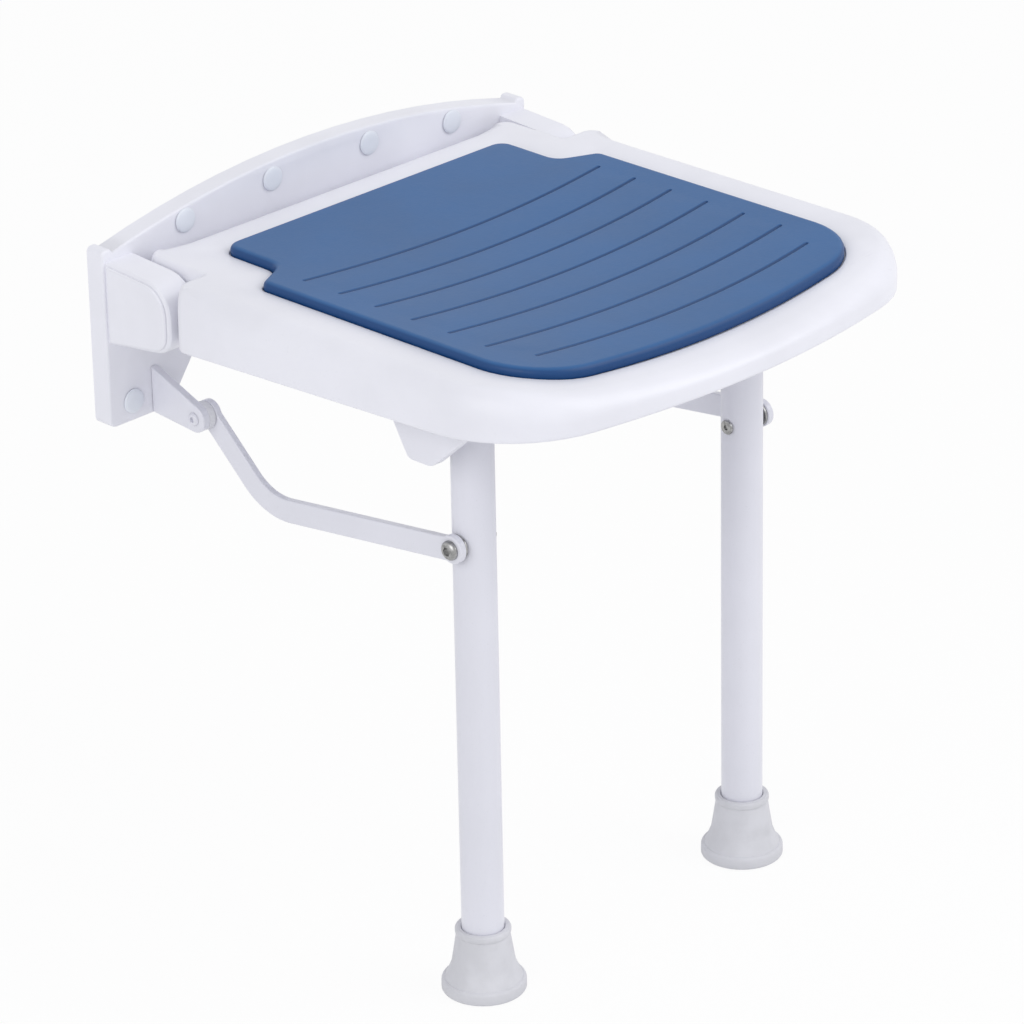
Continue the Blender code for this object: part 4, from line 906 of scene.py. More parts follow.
TONGUE_HALF_WIDTH = 0.168
TONGUE_REAR = 0.022
TONGUE_BOTTOM = -0.018
SHOULDER_REACH = 0.0775
NOSE_CENTRE = 0.001
TIGHT_NOSE_RADIUS = 0.004
TIGHT_NOSE_END = 0.030
BORDER_FALL = 0.45
SKIRT_REAR = -0.0222
SKIRT_FRONT = -0.008
SKIRT_EDGE = 0.0015
ROLL_START = 0.340
ROLL_DROP = 0.004
SHOULDER_ROOT_RADIUS = 0.0036
KNEE_NOTCH_PLACE = (0.1283, -0.017, -0.022)
KNEE_NOTCH_SIZE = (0.0526, 0.034, 0.020)
RIB_BOTTOM = -0.008
RIB_THICKNESS = 0.003
RIB_FRONT_MARGIN = 0.040
CROSS_RIB_FIRST = -0.113
CROSS_RIB_PITCH = 0.076

# Ribs that carry the legs: their middles, and their faces on the side of the seat's middle
INNER_RIB = 0.107
INNER_RIB_FACE = 0.104
OUTER_RIB = 0.163
OUTER_RIB_FACE = 0.159

# Steps of an outline's arcs and bows, and divisions of its straight sides
ARC_STEPS = 10
BOW_STEPS = 8
DIVISIONS = (*[1] * 8, 3, 14, 2, 4, 26, 4, 2, 14, 3, *[1] * 8)


def seat_corners(sizes):
    """Plan of the seat: a rear tongue between the cheeks and a wide body."""
    half = [
        (sizes.half_width, -sizes.reach + sizes.front_bow, sizes.corner_radius),
        (sizes.half_width, -SHOULDER_REACH, 0.012),
        (TONGUE_HALF_WIDTH, -SHOULDER_REACH, SHOULDER_ROOT_RADIUS),
        (TONGUE_HALF_WIDTH, -TONGUE_REAR, 0.012),
    ]
    return mirrored(half)


def deck_height(x, y):
    """Top of the seat under the pad: dished across and rolled down in front."""
    sizes = bpy.context.scene.seat_sizes
    across = max(0, 1 - (x / bpy.context.scene.pad_sizes.half_width) ** 2)
    dish = sizes.dish_depth * across * ease(0.050, 0.200, -y)
    roll = max(0, (-y - ROLL_START) / (sizes.reach - ROLL_START))
    return sizes.deck_level - dish - ROLL_DROP * roll * roll


def border_height(x, y, share=0.0):
    """Top of the border, share running from its crest to the pad's recess."""
    rise = bpy.context.scene.seat_sizes.rim_rise * (1 - ease(0.345, 0.400, -y))
    return deck_height(x, y) + rise * (1 - BORDER_FALL * share * share)


def skirt_bottom(y):
    """Lower edge of the seat's skirt, which rises towards the front."""
    reach = bpy.context.scene.seat_sizes.reach
    if y > -SHOULDER_REACH + SHOULDER_ROOT_RADIUS:
        return TONGUE_BOTTOM
    share = (-y - SHOULDER_REACH) / (reach - SHOULDER_REACH)
    return SKIRT_REAR + (SKIRT_FRONT - SKIRT_REAR) * share


def nose_height(x, y, depth, wall):
    """Height on the rounded edge, tight in the corner round a cheek."""
    full = bpy.context.scene.seat_sizes.nose_radius
    across = max(0, TONGUE_HALF_WIDTH - abs(x))
    along = max(0, -SHOULDER_REACH - y)
    spread = ease(full, TIGHT_NOSE_END, math.hypot(across, along))
    radius = TIGHT_NOSE_RADIUS + (full - TIGHT_NOSE_RADIUS) * spread
    top = border_height(x, y) - wall
    radius = max(radius - wall, GAP)
    out = max(0, 1 - (depth - wall) / radius)
    return NOSE_CENTRE + (top - NOSE_CENTRE) * math.sqrt(max(0, 1 - out * out))


def seat_outline(depth):
    """Points round the seat at a distance in from its edge."""
    sizes = bpy.context.scene.seat_sizes
    corners = inset(seat_corners(sizes), depth)
    bent = bowed(corners, sizes.half_width, sizes.front_bow, BOW_STEPS)
    return rounded(bent, ARC_STEPS, DIVISIONS)


def raised(outline, height):
    """An outline's points at the heights that a rule gives."""
    return [Vector((p.x, p.y, height(p.x, p.y))) for p in outline]


def deck_rings(sizes):
    """Rings from the middle of the pad's recess out to the crest of the border."""
    edge = pad_outline(0)
    rings = []
    for share in (0, 0.25, 0.5, 0.75, 0.9, 0.97):
        rings.append(raised([PAD_MIDDLE.lerp(p, share) for p in edge], deck_height))
    for out, share in ((0, 0), (0.0007, 0.04), (0.0009, 0.85), (0.0011, 0.95)):

        def step(x, y, s=share):
            return deck_height(x, y) * (1 - s) + border_height(x, y, 1) * s

        rings.append(raised(pad_outline(-out), step))
    brim = pad_outline(-0.0016)
    crest = seat_outline(sizes.nose_radius)
    for share in (1, 0.9, 0.8, 0.68, 0.55, 0.42, 0.30, 0.20, 0.12, 0.05):
        ring = [outer.lerp(inner, share) for outer, inner in zip(crest, brim)]
        rings.append(raised(ring, lambda x, y, s=share: border_height(x, y, s)))
    return rings


def edge_rings(sizes):
    """Rings over the nose, down the skirt and up its inner side."""
    full = sizes.nose_radius
    wall = sizes.wall
    rings = []
    for step in range(15):
        angle = math.pi / 2 * (1 - step / 14)
        depth = full * (1 - math.cos(angle))
        rings.append((depth, lambda x, y, d=depth: nose_height(x, y, d, 0)))
    for share in (0.35, 0.7):
        rings.append((0, lambda x, y, s=share: NOSE_CENTRE + (skirt_bottom(y) - NOSE_CENTRE) * s))
    for step in range(4):
        angle = math.pi / 2 * step / 3
        depth = SKIRT_EDGE * (1 - math.cos(angle))
        lift = SKIRT_EDGE * (1 - math.sin(angle))
        rings.append((depth, lambda x, y, up=lift: skirt_bottom(y) + up))
    rings.append((wall - 0.0006, lambda x, y: skirt_bottom(y)))
    rings.append((wall, lambda x, y: skirt_bottom(y) + 0.0006))
    for step in range(7):
        angle = math.pi / 2 * step / 6
        depth = full - (full - wall) * math.cos(angle)
        rings.append((depth, lambda x, y, d=depth: nose_height(x, y, d, wall)))
    return [raised(seat_outline(depth), height) for depth, height in rings]


def seat_skin(sizes):
    """The seat's outer moulding, open underneath, with the pad's recess on top."""
    deck = deck_rings(sizes)
    drop = Vector((0, 0, sizes.wall))
    under = [[point - drop for point in ring] for ring in reversed(deck)]
    return lofted("seat_moulding", deck + edge_rings(sizes) + under, 50)


def inner_lug():
    """Lower edge of an inner rib round its leg's pivot, from front to rear."""
    low = PIVOT.z - 0.016
    half = [(0.0096, low, 0.0112), (0.026, RIB_BOTTOM, 0.010)]
    front = [(PIVOT.y - away, height, radius) for away, height, radius in reversed(half)]
    return front + [(PIVOT.y + away, height, radius) for away, height, radius in half]


def outer_lug():
    """Lower edge of an outer rib round its leg's pivot, from front to rear."""
    low = PIVOT.z - 0.0235
    return [
        (PIVOT.y - 0.055, RIB_BOTTOM, 0.010),
        (PIVOT.y - 0.005, low, 0.012),
        (PIVOT.y + 0.0155, low, 0.006),
        (PIVOT.y + 0.041, RIB_BOTTOM, 0.010),
    ]


def long_rib(name, x, thickness, lug, sizes):
    """A rib along the seat, with the corners of a lug for the leg's pivot."""
    front = -sizes.reach + RIB_FRONT_MARGIN
    rear = -SHOULDER_REACH + sizes.wall / 2
    corners = []
    for step in range(25):
        y = rear + (front - rear) * step / 24
        top = border_height(x, y, 0.75) if abs(x) > PAD_HIGH.x else deck_height(x, y)
        corners.append((y, top - sizes.wall / 2, 0))
    corners.append((front, RIB_BOTTOM, 0))
    corners.extend(lug)
    corners.append((rear, RIB_BOTTOM, 0))
    rib = slab(name, rounded(corners, 8), "X", x - thickness / 2, x + thickness / 2)

    def lower_edge(point):
        return point.z < RIB_BOTTOM + HAIR and rear - 0.001 > point.y > front + 0.001

    return soften(rib, both_ends(lower_edge), 0.0007, 2)


def cross_rib(name, y, sizes):
    """A rib across the seat between the inner pivot lugs."""
    points = []
    for step in range(25):
        x = INNER_RIB * (step / 12 - 1)
        points.append(Vector((x, deck_height(x, y) - sizes.wall / 2)))
    half = RIB_THICKNESS / 2
    points.append(Vector((INNER_RIB, RIB_BOTTOM + half)))
    points.append(Vector((-INNER_RIB, RIB_BOTTOM + half)))
    return slab(name, points, "Y", y - half, y + half)


def hinge_boss(name, radius, top, inner, outer):
    """Block round a hinge pin at the side of the tongue."""
    points = [Vector((HINGE.y - radius, top))]
    for step in range(17):
        angle = math.pi + math.pi * step / 16
        across = HINGE.y + radius * math.cos(angle)
        points.append(Vector((across, radius * math.sin(angle))))
    points.append(Vector((HINGE.y + radius, top)))
    return slab(name, points, "X", inner, outer)


class SHOWERSEAT_OT_seat(bpy.types.Operator):
    """Models the seat: a thin moulded shell with a rounded, raised rim"""

    bl_idname = "showerseat.seat"
    bl_label = "Seat Moulding"

    def execute(self, context):
        sizes = context.scene.seat_sizes
        seat = seat_skin(sizes)
        across, along, up = KNEE_NOTCH_PLACE
        cut(seat, [block((side * across, along, up), KNEE_NOTCH_SIZE) for _, side in SIDES])
        activate(seat)
        bpy.ops.object.shade_smooth_by_angle(angle=math.radians(40))
        settle(seat, "seat", ["seat_shell"], "moulded_white")
        return {"FINISHED"}


class SHOWERSEAT_OT_ribs(bpy.types.Operator):
    """Models the ribs, hinge bosses and pivot lugs under the seat"""

    bl_idname = "showerseat.ribs"
    bl_label = "Seat Ribs"

    def execute(self, context):
        sizes = context.scene.seat_sizes
        ribs = []
        for name, side in SIDES:
            thickness = 2 * (INNER_RIB - INNER_RIB_FACE)
            ribs.append(long_rib("inner_lug_" + name, side * INNER_RIB, thickness, inner_lug(), sizes))
            thickness = 2 * (OUTER_RIB - OUTER_RIB_FACE)
            ribs.append(long_rib("outer_lug_" + name, side * OUTER_RIB, thickness, outer_lug(), sizes))
            ribs.append(long_rib("rib_" + name, side * INNER_RIB_FACE / 3, RIB_THICKNESS, [], sizes))
            ends = sorted((side * 0.151, side * 0.166))
            ribs.append(hinge_boss("boss_" + name, 0.013, 0.0055, *ends))
            ends = sorted((side * 0.152, side * 0.1599))
            ribs.append(hinge_boss("block_" + name, 0.012, 0.0196, *ends))
        for index in range(4):
            y = CROSS_RIB_FIRST - CROSS_RIB_PITCH * index
            ribs.append(cross_rib(f"cross_rib_{index + 1}", y, sizes))
        piece = join(ribs, "seat_ribs")
        settle(piece, "seat", ["seat_shell"], "moulded_white")
        for name, _ in SIDES:
            dress_node("hinge_bush_" + name, "bush_nylon")
        return {"FINISHED"}


# Pad

PAD_GAP = 0.0007
PAD_FRONT_BOW = 0.016
PAD_REAR_HALF_WIDTH = 0.1285
PAD_MIDDLE = Vector((0, -0.216))
GROOVE_HALF_LENGTH = 0.137
GROOVE_LAST_HALF_LENGTH = 0.126
GROOVE_BOW = 0.009
FIELD_MARGIN = 0.0025
BAND_STEPS = 14
BEND_WEIGHT = 0.03
GROOVE_ROWS = (0.0003, 0.0006, 0.0009, 0.0012, 0.0016, 0.0022)
BETWEEN_ROWS = (0.15, 0.30, 0.50, 0.70, 0.85)


def pad_corners(sizes):
    """Plan of the pad: a narrower rear, then shoulders and a bowed front."""
    half = [
        (sizes.half_width, -sizes.reach + PAD_FRONT_BOW, 0.052),
        (sizes.half_width, -0.122, 0.008),
        (PAD_REAR_HALF_WIDTH, -0.108, 0.014),
        (PAD_REAR_HALF_WIDTH, -0.057, 0.011),
    ]
    return mirrored(half)


def pad_outline(depth):
    """Points round the pad at a distance in from its edge."""
    sizes = bpy.context.scene.pad_sizes
    corners = inset(pad_corners(sizes), depth)
    bent = bowed(corners, sizes.half_width, PAD_FRONT_BOW, BOW_STEPS)
    return rounded(bent, ARC_STEPS, DIVISIONS)


def pad_top(x, y):
    """Upper face of the pad, away from its edge and its grooves."""
    return deck_height(x, y) + PAD_GAP + bpy.context.scene.pad_sizes.thickness


def field_rows(sizes):
    """Distances from the wall of the rows of the grooved field, at its sides."""
    rows = []
    for index in range(sizes.groove_count):
        groove = sizes.groove_first + sizes.groove_pitch * index
        rows.append(groove)
        for away in GROOVE_ROWS:
            rows.extend([groove - away, groove + away])
        if index < sizes.groove_count - 1:
            rows.extend(groove + sizes.groove_pitch * share for share in BETWEEN_ROWS)
    rows.extend(min(rows) - 0.0008 * step for step in range(1, 6))
    rows.extend(max(rows) + 0.0010 * step for step in range(1, 4))
    return sorted(rows)


def field_columns():
    """Shares of the field's half width at which its columns run, left to right."""
    half = [0.025 * step for step in range(39)]
    half += [0.955 + 0.003 * step for step in range(15)] + [1.0]
    return [-share for share in reversed(half[1:])] + half


def groove_half_length(row, sizes):
    """Half the length of the grooves, which the last one has shorter."""
    last = sizes.groove_first + sizes.groove_pitch * (sizes.groove_count - 1)
    share = ease(last - sizes.groove_pitch + 0.003, last - 0.003, row)
    return GROOVE_HALF_LENGTH + (GROOVE_LAST_HALF_LENGTH - GROOVE_HALF_LENGTH) * share


def field_point(row, column, sizes):
    """A point of the grooved field, and how deep in a groove it lies, from 0 to 1."""
    half = groove_half_length(row, sizes)
    x = column * (half + FIELD_MARGIN)
    y = -row - GROOVE_BOW * (1 - (x / half) ** 2)
    place = (row - sizes.groove_first) / sizes.groove_pitch
    index = min(max(round(place), 0), sizes.groove_count - 1)
    away = abs(place - index) * sizes.groove_pitch
    past = max(0, abs(x) - half + sizes.groove_width / 2)
    reach = math.hypot(away, past) / (sizes.groove_width / 2)
    depth = min(1, 1.6 * max(0, 1 - reach * reach))
    swell = 0
    if 0 < place < sizes.groove_count - 1:
        across = 1 - ease(half - 0.015, half, abs(x))
        swell = sizes.puff * across * math.sin(math.pi * (place % 1))
    z = pad_top(x, y) + swell - depth * sizes.groove_depth
    return Vector((x, y, z)), depth


def arc_middles():
    """Numbers of the outline's points in the middle of its rounded corners."""
    middles = []
    number = 0
    for index, pieces in enumerate(DIVISIONS):
        is_round = BOW_STEPS < index <= BOW_STEPS + 8
        if is_round:
            middles.append(number + ARC_STEPS // 2)
        number += (ARC_STEPS + 1 if is_round else 1) + pieces - 1
    return middles


def spread_along(outline, start, finish, shares):
    """Places (point number and part of the way on) at shares of a stretch of an
    outline, closer together where it bends."""
    count = len(outline)
    travelled = [0.0]
    for number in range(start, finish):
        here = outline[number % count]
        step = outline[(number + 1) % count] - here
        turn = abs(step.angle_signed(here - outline[(number - 1) % count], 0))
        travelled.append(travelled[-1] + step.length + BEND_WEIGHT * turn)
    places = []
    number = 0
    for share in shares:
        target = share * travelled[-1]
        while number < finish - start - 1 and travelled[number + 1] < target:
            number += 1
        part = (target - travelled[number]) / (travelled[number + 1] - travelled[number])
        places.append((start + number, part))
    return places


def at_places(outline, places):
    """The outline's points at places on it."""
    count = len(outline)
    return [outline[n % count].lerp(outline[(n + 1) % count], part) for n, part in places]


def edge_places(sections, outline):
    """Places on the pad's outline for the points round the grooved field."""
    middles = arc_middles()
    marks = [middles[0], middles[1], middles[6], middles[7], middles[0] + len(outline)]
    places = []
    for section, start, finish in zip(sections, marks, marks[1:]):
        travelled = [0.0]
        for first, second in zip(section, section[1:]):
            travelled.append(travelled[-1] + (second - first).length)
        shares = [value / travelled[-1] for value in travelled[:-1]]
        places.extend(spread_along(outline, start, finish, shares))
    return places


class SHOWERSEAT_OT_pad(bpy.types.Operator):
    """Models the soft pad with its rolled edge and drainage grooves"""

    bl_idname = "showerseat.pad"
    bl_label = "Seat Pad"

    def execute(self, context):
        sizes = context.scene.pad_sizes
        rows = field_rows(sizes)
        columns = field_columns()
        deselect()
        bpy.ops.mesh.primitive_grid_add(
            x_subdivisions=len(columns) - 1, y_subdivisions=len(rows) - 1, size=0.3
        )
        pad = bpy.context.object
        depths = []
        points = []
        for vertex in pad.data.vertices:
            row = rows[vertex.index // len(columns)]
            point, depth = field_point(row, columns[vertex.index % len(columns)], sizes)
            vertex.co = point
            points.append(point)
            depths.append(depth)
        # Depth in a groove at each point, which the pad's finish uses to paint shade into the grooves.
        grooves = pad.data.attributes.new("groove", "FLOAT", "POINT")
        grooves.data.foreach_set("value", depths)
        border = self.border(points, len(rows), len(columns), sizes)
        border.data.attributes.new("groove", "FLOAT", "POINT")
        pad = join([pad, border], "seat_cushion")
        close_up(pad, 60)
        settle(pad, "seat", ["seat_pad"], "pad_blue")
        return {"FINISHED"}

    def border(self, points, row_count, column_count, sizes):
        """From the grooved field out to the pad's edge, down it and back under."""

        def at(row, column):
            return points[row * column_count + column]

        last_row = row_count - 1
        last_column = column_count - 1
        sections = [
            [at(row, last_column) for row in range(last_row, -1, -1)],
            [at(0, column) for column in range(last_column, -1, -1)],
            [at(row, 0) for row in range(row_count)],
            [at(last_row, column) for column in range(column_count)],
        ]
        loop = [point for section in sections for point in section[:-1]]
        radius = sizes.edge_radius
        brink = pad_outline(radius)
        places = edge_places(sections, brink)
        brink = at_places(brink, places)
        rings = [loop]
        for step in range(1, BAND_STEPS + 1):
            share = step / BAND_STEPS
            ring = [first.xy.lerp(second, share) for first, second in zip(loop, brink)]
            rings.append(raised(ring, pad_top))
        for step in range(1, 10):
            angle = math.pi / 2 * step / 9
            drop = radius * (1 - math.cos(angle))
            ring = at_places(pad_outline(radius * (1 - math.sin(angle))), places)
            rings.append(raised(ring, lambda x, y, d=drop: pad_top(x, y) - d))
        for depth, lift in ((0, 0.0012), (0.0003, 0.0004), (0.0010, 0)):
            ring = at_places(pad_outline(depth), places)
            rings.append(raised(ring, lambda x, y, up=lift: deck_height(x, y) + PAD_GAP + up))
        for share in (0.85, 0.65, 0.45, 0.25, 0):
            inner = [PAD_MIDDLE.lerp(point, share) for point in ring]
            rings.append(raised(inner, lambda x, y: deck_height(x, y) + PAD_GAP))
        return lofted("pad_border", rings, 60)


# Legs

LEG_X = 0.126
LEG_INNER = 0.112
LEG_OUTER = 0.140
PIN_RADIUS = 0.005
PIN_END = 0.1637


class SHOWERSEAT_OT_pivots(bpy.types.Operator):
    """Models the pins that the legs turn on, and their sleeves"""

    bl_idname = "showerseat.pivots"
    bl_label = "Leg Pivots"

    def execute(self, context):
        head = INNER_RIB_FACE - GAP
        profile = [
            (0, head - 0.0030),
            (0.0055, head - 0.0030),
            (0.0070, head - 0.0026),
            (0.0080, head - 0.0014),
            (0.0080, head),
            (PIN_RADIUS, head),
            (PIN_RADIUS, PIN_END),
            (0, PIN_END),
        ]
        pin = turned("pivot_pin", profile, "X", PIVOT, 48)
        settle_pair(pin, "pivot_pin", "seat", "leg_pin", "bright_steel")
        low = LEG_OUTER + 2 * GAP
        high = OUTER_RIB_FACE - GAP
        ring = sleeve("pivot_sleeve", PIVOT, 0.0053, 0.0080, 0.0004, low, high)
        settle_pair(ring, "pivot_sleeve", "seat", "leg_spacer", "bush_nylon")
        return {"FINISHED"}


class SHOWERSEAT_OT_legs(bpy.types.Operator):
    """Models the leg tubes with their top plugs"""

    bl_idname = "showerseat.legs"
    bl_label = "Leg Tubes"

    def execute(self, context):
        sizes = context.scene.leg_sizes
        centre = Vector((LEG_X, PIVOT.y, 0))
        bore = sizes.radius - sizes.wall
        bottom = TUBE_LOW.z
        top = TUBE_HIGH.z
        profile = [
            (bore, bottom),
            (sizes.radius, bottom),
            (sizes.radius, top - 0.0006),
            (sizes.radius - 0.0002, top - 0.0002),
            (sizes.radius - 0.0006, top),
            (bore, top),
        ]
        tube = turned("tube", profile, "Z", centre, 72, loop=True)
        settle_pair(tube, "tube", "leg", "leg_tube", "coated_white")
        stem = bore - GAP
        profile = [(0, top + 0.0030), (0.008, top + 0.0029)]
        for step in range(7):
            angle = math.pi / 2 * (1 - step / 6)
            across = sizes.radius - 0.002 * (1 - math.cos(angle))
            profile.append((across, top + 0.0009 + 0.0019 * math.sin(angle)))
        low = top - 0.0065
        profile += [(sizes.radius, top + GAP), (stem, top + GAP), (stem, low), (0, low)]
        plug = turned("tube_plug", profile, "Z", centre, 72)
        settle_pair(plug, "tube_plug", "leg", "leg_plug", "moulded_white")
        return {"FINISHED"}


class SHOWERSEAT_OT_feet(bpy.types.Operator):
    """Models the rubber feet with flange, waist, lip and tread"""

    bl_idname = "showerseat.feet"
    bl_label = "Rubber Feet"

    def execute(self, context):
        sizes = context.scene.leg_sizes
        centre = Vector((LEG_X, PIVOT.y, 0))
        wide = sizes.foot_radius
        neck = sizes.neck_radius
        top = FOOT_HIGH.z
        socket = sizes.radius + GAP
        profile = [(0, FLOOR + 0.0012), (0.0045, FLOOR + 0.0012)]
        tread = ((0, 0.0008), (0.0006, 0), (0.0034, 0), (0.0040, 0.0008), (0.0048, 0.0012))
        for ring in (0.0055, 0.0115, 0.0175):
            profile += [(ring + out, FLOOR + up) for out, up in tread]
        profile += [(0.0235, FLOOR + 0.0006), (0.0240, FLOOR)]
        for step in range(6):
            angle = math.pi / 2 * step / 5
            out = wide - 0.0018 * (1 - math.sin(angle))
            profile.append((out, FLOOR + 0.0018 * (1 - math.cos(angle))))
        for step in range(1, 7):
            angle = math.pi / 2 * step / 6
            out = wide - 0.0024 * (1 - math.cos(angle))
            profile.append((out, FLOOR + 0.0060 + 0.0028 * math.sin(angle)))
        flare = [(wide - 0.0024, 0.0088), (neck + 0.0055, 0.0140), (neck + 0.0035, 0.0190)]
        flare += [(neck + 0.0022, 0.0270), (neck + 0.0006, 0.0375), (neck, 0.0400)]
        for first, second in zip(flare, flare[1:]):
            for step in range(1, 4):
                share = step / 3
                out = first[0] + (second[0] - first[0]) * share
                up = first[1] + (second[1] - first[1]) * share
                profile.append((out, FLOOR + up))
        lip = ((0, 0.0405), (0.0006, 0.0411), (0.0008, 0.0420), (0.0008, 0.0440))
        profile += [(neck + out, FLOOR + up) for out, up in lip]
        profile += [(neck + 0.0004, top - 0.0005), (neck - 0.0004, top)]
        profile += [(socket + 0.0006, top), (socket, top - 0.0006)]
        profile += [(socket, FLOOR + 0.008), (0, FLOOR + 0.008)]
        foot = turned("foot", profile, "Z", centre, 96, smooth=40)
        settle_pair(foot, "foot", "leg", "leg_foot", "foot_rubber")
        return {"FINISHED"}


class SHOWERSEAT_OT_bolts(bpy.types.Operator):
    """Models the bolts that join links and legs, with washers and nuts"""

    bl_idname = "showerseat.bolts"
    bl_label = "Link Bolts"

    def execute(self, context):
        head = LINK_OUTER + GAP
        tip = LEG_INNER - GAP
        crown = head + 0.0034
        profile = [
            (0, crown),
            (0.0038, crown),
            (0.0047, crown - 0.0003),
            (0.0056, crown - 0.0009),
            (0.0063, crown - 0.0018),
            (0.0065, crown - 0.0024),
            (0.0065, head),
            (0.0040, head),
            (0.0040, tip),
            (0, tip),
        ]
        bolt = turned("link_screw", profile, "X", LINK_BOLT, 48)
        cut(bolt, [rod((crown, LINK_BOLT.y, LINK_BOLT.z), 0.0032, 0.0036, 6)])
        close_up(bolt, 30)
        settle_pair(bolt, "link_screw", "leg", "link_bolt", "bright_steel")
        low = LEG_OUTER + GAP
        high = LINK_INNER - GAP
        washer = sleeve("steel_washer", LINK_BOLT, 0.0043, 0.0085, 0.0002, low, high)
        settle_pair(washer, "steel_washer", "leg", "link_washer", "bright_steel")
        base = tip - GAP
        low = base - 0.0012
        profile = [
            (0, low),
            (0.0036, low),
            (0.0044, low + 0.0001),
            (0.0049, low + 0.0005),
            (0.0050, low + 0.0009),
            (0.0050, base),
            (0, base),
        ]
        nut = turned("sleeve_nut", profile, "X", LINK_BOLT, 48)
        cut(nut, [rod((low, LINK_BOLT.y, LINK_BOLT.z), 0.0020, 0.0020, 6)])
        close_up(nut, 30)
        settle_pair(nut, "sleeve_nut", "leg", "link_nut", "bright_steel")
        return {"FINISHED"}


# Links

LINK_EYE_RADIUS = 0.0095
LINK_BEND = Vector((-0.054, -0.050))
BEND_RADIUS = 0.045


def eye_arc(centre, outward, width, steps=24):
    """Round end of a link, a little wider than the bar."""
    half = math.pi - math.asin(width / 2 / LINK_EYE_RADIUS)
    middle = math.atan2(outward.y, outward.x)
    points = []
    for step in range(steps + 1):
        angle = middle + half * (1 - 2 * step / steps)
        points.append(centre + LINK_EYE_RADIUS * Vector((math.cos(angle), math.sin(angle))))
    return points


def link_outline(width):
    """Side view of a link: a bent flat bar with round ends."""
    rear = Vector((LUG_PIN.y, LUG_PIN.z))
    bend = rear + LINK_BEND
    front = Vector((LINK_BOLT.y, LINK_BOLT.z))
    half = width / 2
    first = (bend - rear).normalized()
    second = (front - bend).normalized()
    first_across = Vector((-first.y, first.x))
    second_across = Vector((-second.y, second.x))
    elbow = (first_across + second_across) * half / (1 + first_across.dot(second_across))
    radii = (BEND_RADIUS - half, BEND_RADIUS + half)
    upper, lower = radii if first.cross(second) > 0 else (radii[1], radii[0])
    run = [
        (*(rear + first_across * half), 0),
        (*(bend + elbow), upper),
        (*(front + second_across * half), 0),
    ]
    points = rounded(run, 14)[1:-1]
    points += eye_arc(front, second, width)
    run = [
        (*(front - second_across * half), 0),
        (*(bend - elbow), lower),
        (*(rear - first_across * half), 0),
    ]
    points += rounded(run, 14)[1:-1]
    points += eye_arc(rear, -first, width)
    return points


class SHOWERSEAT_OT_links(bpy.types.Operator):
    """Models the bent flat links between the wall lugs and the legs"""

    bl_idname = "showerseat.links"
    bl_label = "Links"

    def execute(self, context):
        outline = link_outline(context.scene.leg_sizes.link_width)
        bar = slab("link", outline, "X", LINK_INNER, LINK_OUTER)

        def on_one_face(edge):
            return abs(edge.verts[0].co.x - edge.verts[1].co.x) < HAIR / 10

        soften(bar, on_one_face, 0.0008, 3)
        holes = []
        for centre, radius in ((LUG_PIN, 0.0033), (LINK_BOLT, 0.0045)):
            holes.append(rod((0.145, centre.y, centre.z), radius, 0.02, 32))
        cut(bar, holes)
        close_up(bar)
        settle_pair(bar, "link", "link", "link_bar", "coated_white")
        return {"FINISHED"}


# Stage

CAMERA_AZIMUTH = -45.47
CAMERA_ELEVATION = 24.37
CAMERA_ROLL = -1.11
CAMERA_DISTANCE = 3.47469
CAMERA_TARGET = Vector((-0.01346, -0.200, -0.15928))
CAMERA_LENS = 186.6
WORLD_LIGHT = 0.66
FLOOR_SIZE = 12
FLOOR_WHITE = 0.93
LAMP_TARGET = Vector((0, -0.2, -0.1))


def make_camera():
    """A long lens to the left of straight ahead, a little above the seat."""
    azimuth = math.radians(CAMERA_AZIMUTH)
    elevation = math.radians(CAMERA_ELEVATION)
    roll = math.radians(CAMERA_ROLL)
    level = math.cos(elevation)
    back = Vector((math.sin(azimuth) * level, -math.cos(azimuth) * level, math.sin(elevation)))
    right = Vector((math.cos(azimuth), math.sin(azimuth), 0))
    up = back.cross(right)
    rolled_right = right * math.cos(roll) + up * math.sin(roll)
    rolled_up = up * math.cos(roll) - right * math.sin(roll)
    deselect()
    bpy.ops.object.camera_add()
    camera = bpy.context.object
    turn = Matrix((rolled_right, rolled_up, back)).transposed().to_4x4()
    camera.matrix_world = Matrix.Translation(CAMERA_TARGET + back * CAMERA_DISTANCE) @ turn
    camera.data.sensor_width = 36
    camera.data.lens = CAMERA_LENS
    camera.data.clip_end = 50
    bpy.context.scene.camera = camera


def seen_directly(tree):
    """1 for rays from the camera, and for mirrored and see-through ones."""
    rays = tree.nodes.new("ShaderNodeLightPath")
    seen = rays.outputs["Is Camera Ray"]
    for name in ("Is Glossy Ray", "Is Transmission Ray"):
        either = tree.nodes.new("ShaderNodeMath")
        either.operation = "MAXIMUM"
        tree.links.new(seen, either.inputs[0])
        tree.links.new(rays.outputs[name], either.inputs[1])
        seen = either.outputs[0]
    return seen


def blend_shaders(tree, share, first, second, output):
    """Mixes two shaders and gives the mix to an output node."""
    blend = tree.nodes.new("ShaderNodeMixShader")
    tree.links.new(share, blend.inputs[0])
    tree.links.new(first.outputs[0], blend.inputs[1])
    tree.links.new(second.outputs[0], blend.inputs[2])
    tree.links.new(blend.outputs[0], tree.nodes[output].inputs[0])


def make_world():
    """White behind the object, and a plain soft light from all round."""
    world = bpy.data.worlds.new("studio")
    bpy.context.scene.world = world
    world.use_nodes = True
    tree = world.node_tree
    light = tree.nodes["Background"]
    light.inputs["Color"].default_value = (0.97, 0.98, 1.0, 1)
    light.inputs["Strength"].default_value = WORLD_LIGHT
    white = tree.nodes.new("ShaderNodeBackground")
    white.inputs["Color"].default_value = (1, 1, 1, 1)
    white.inputs["Strength"].default_value = 1.0
    blend_shaders(tree, seen_directly(tree), light, white, "World Output")


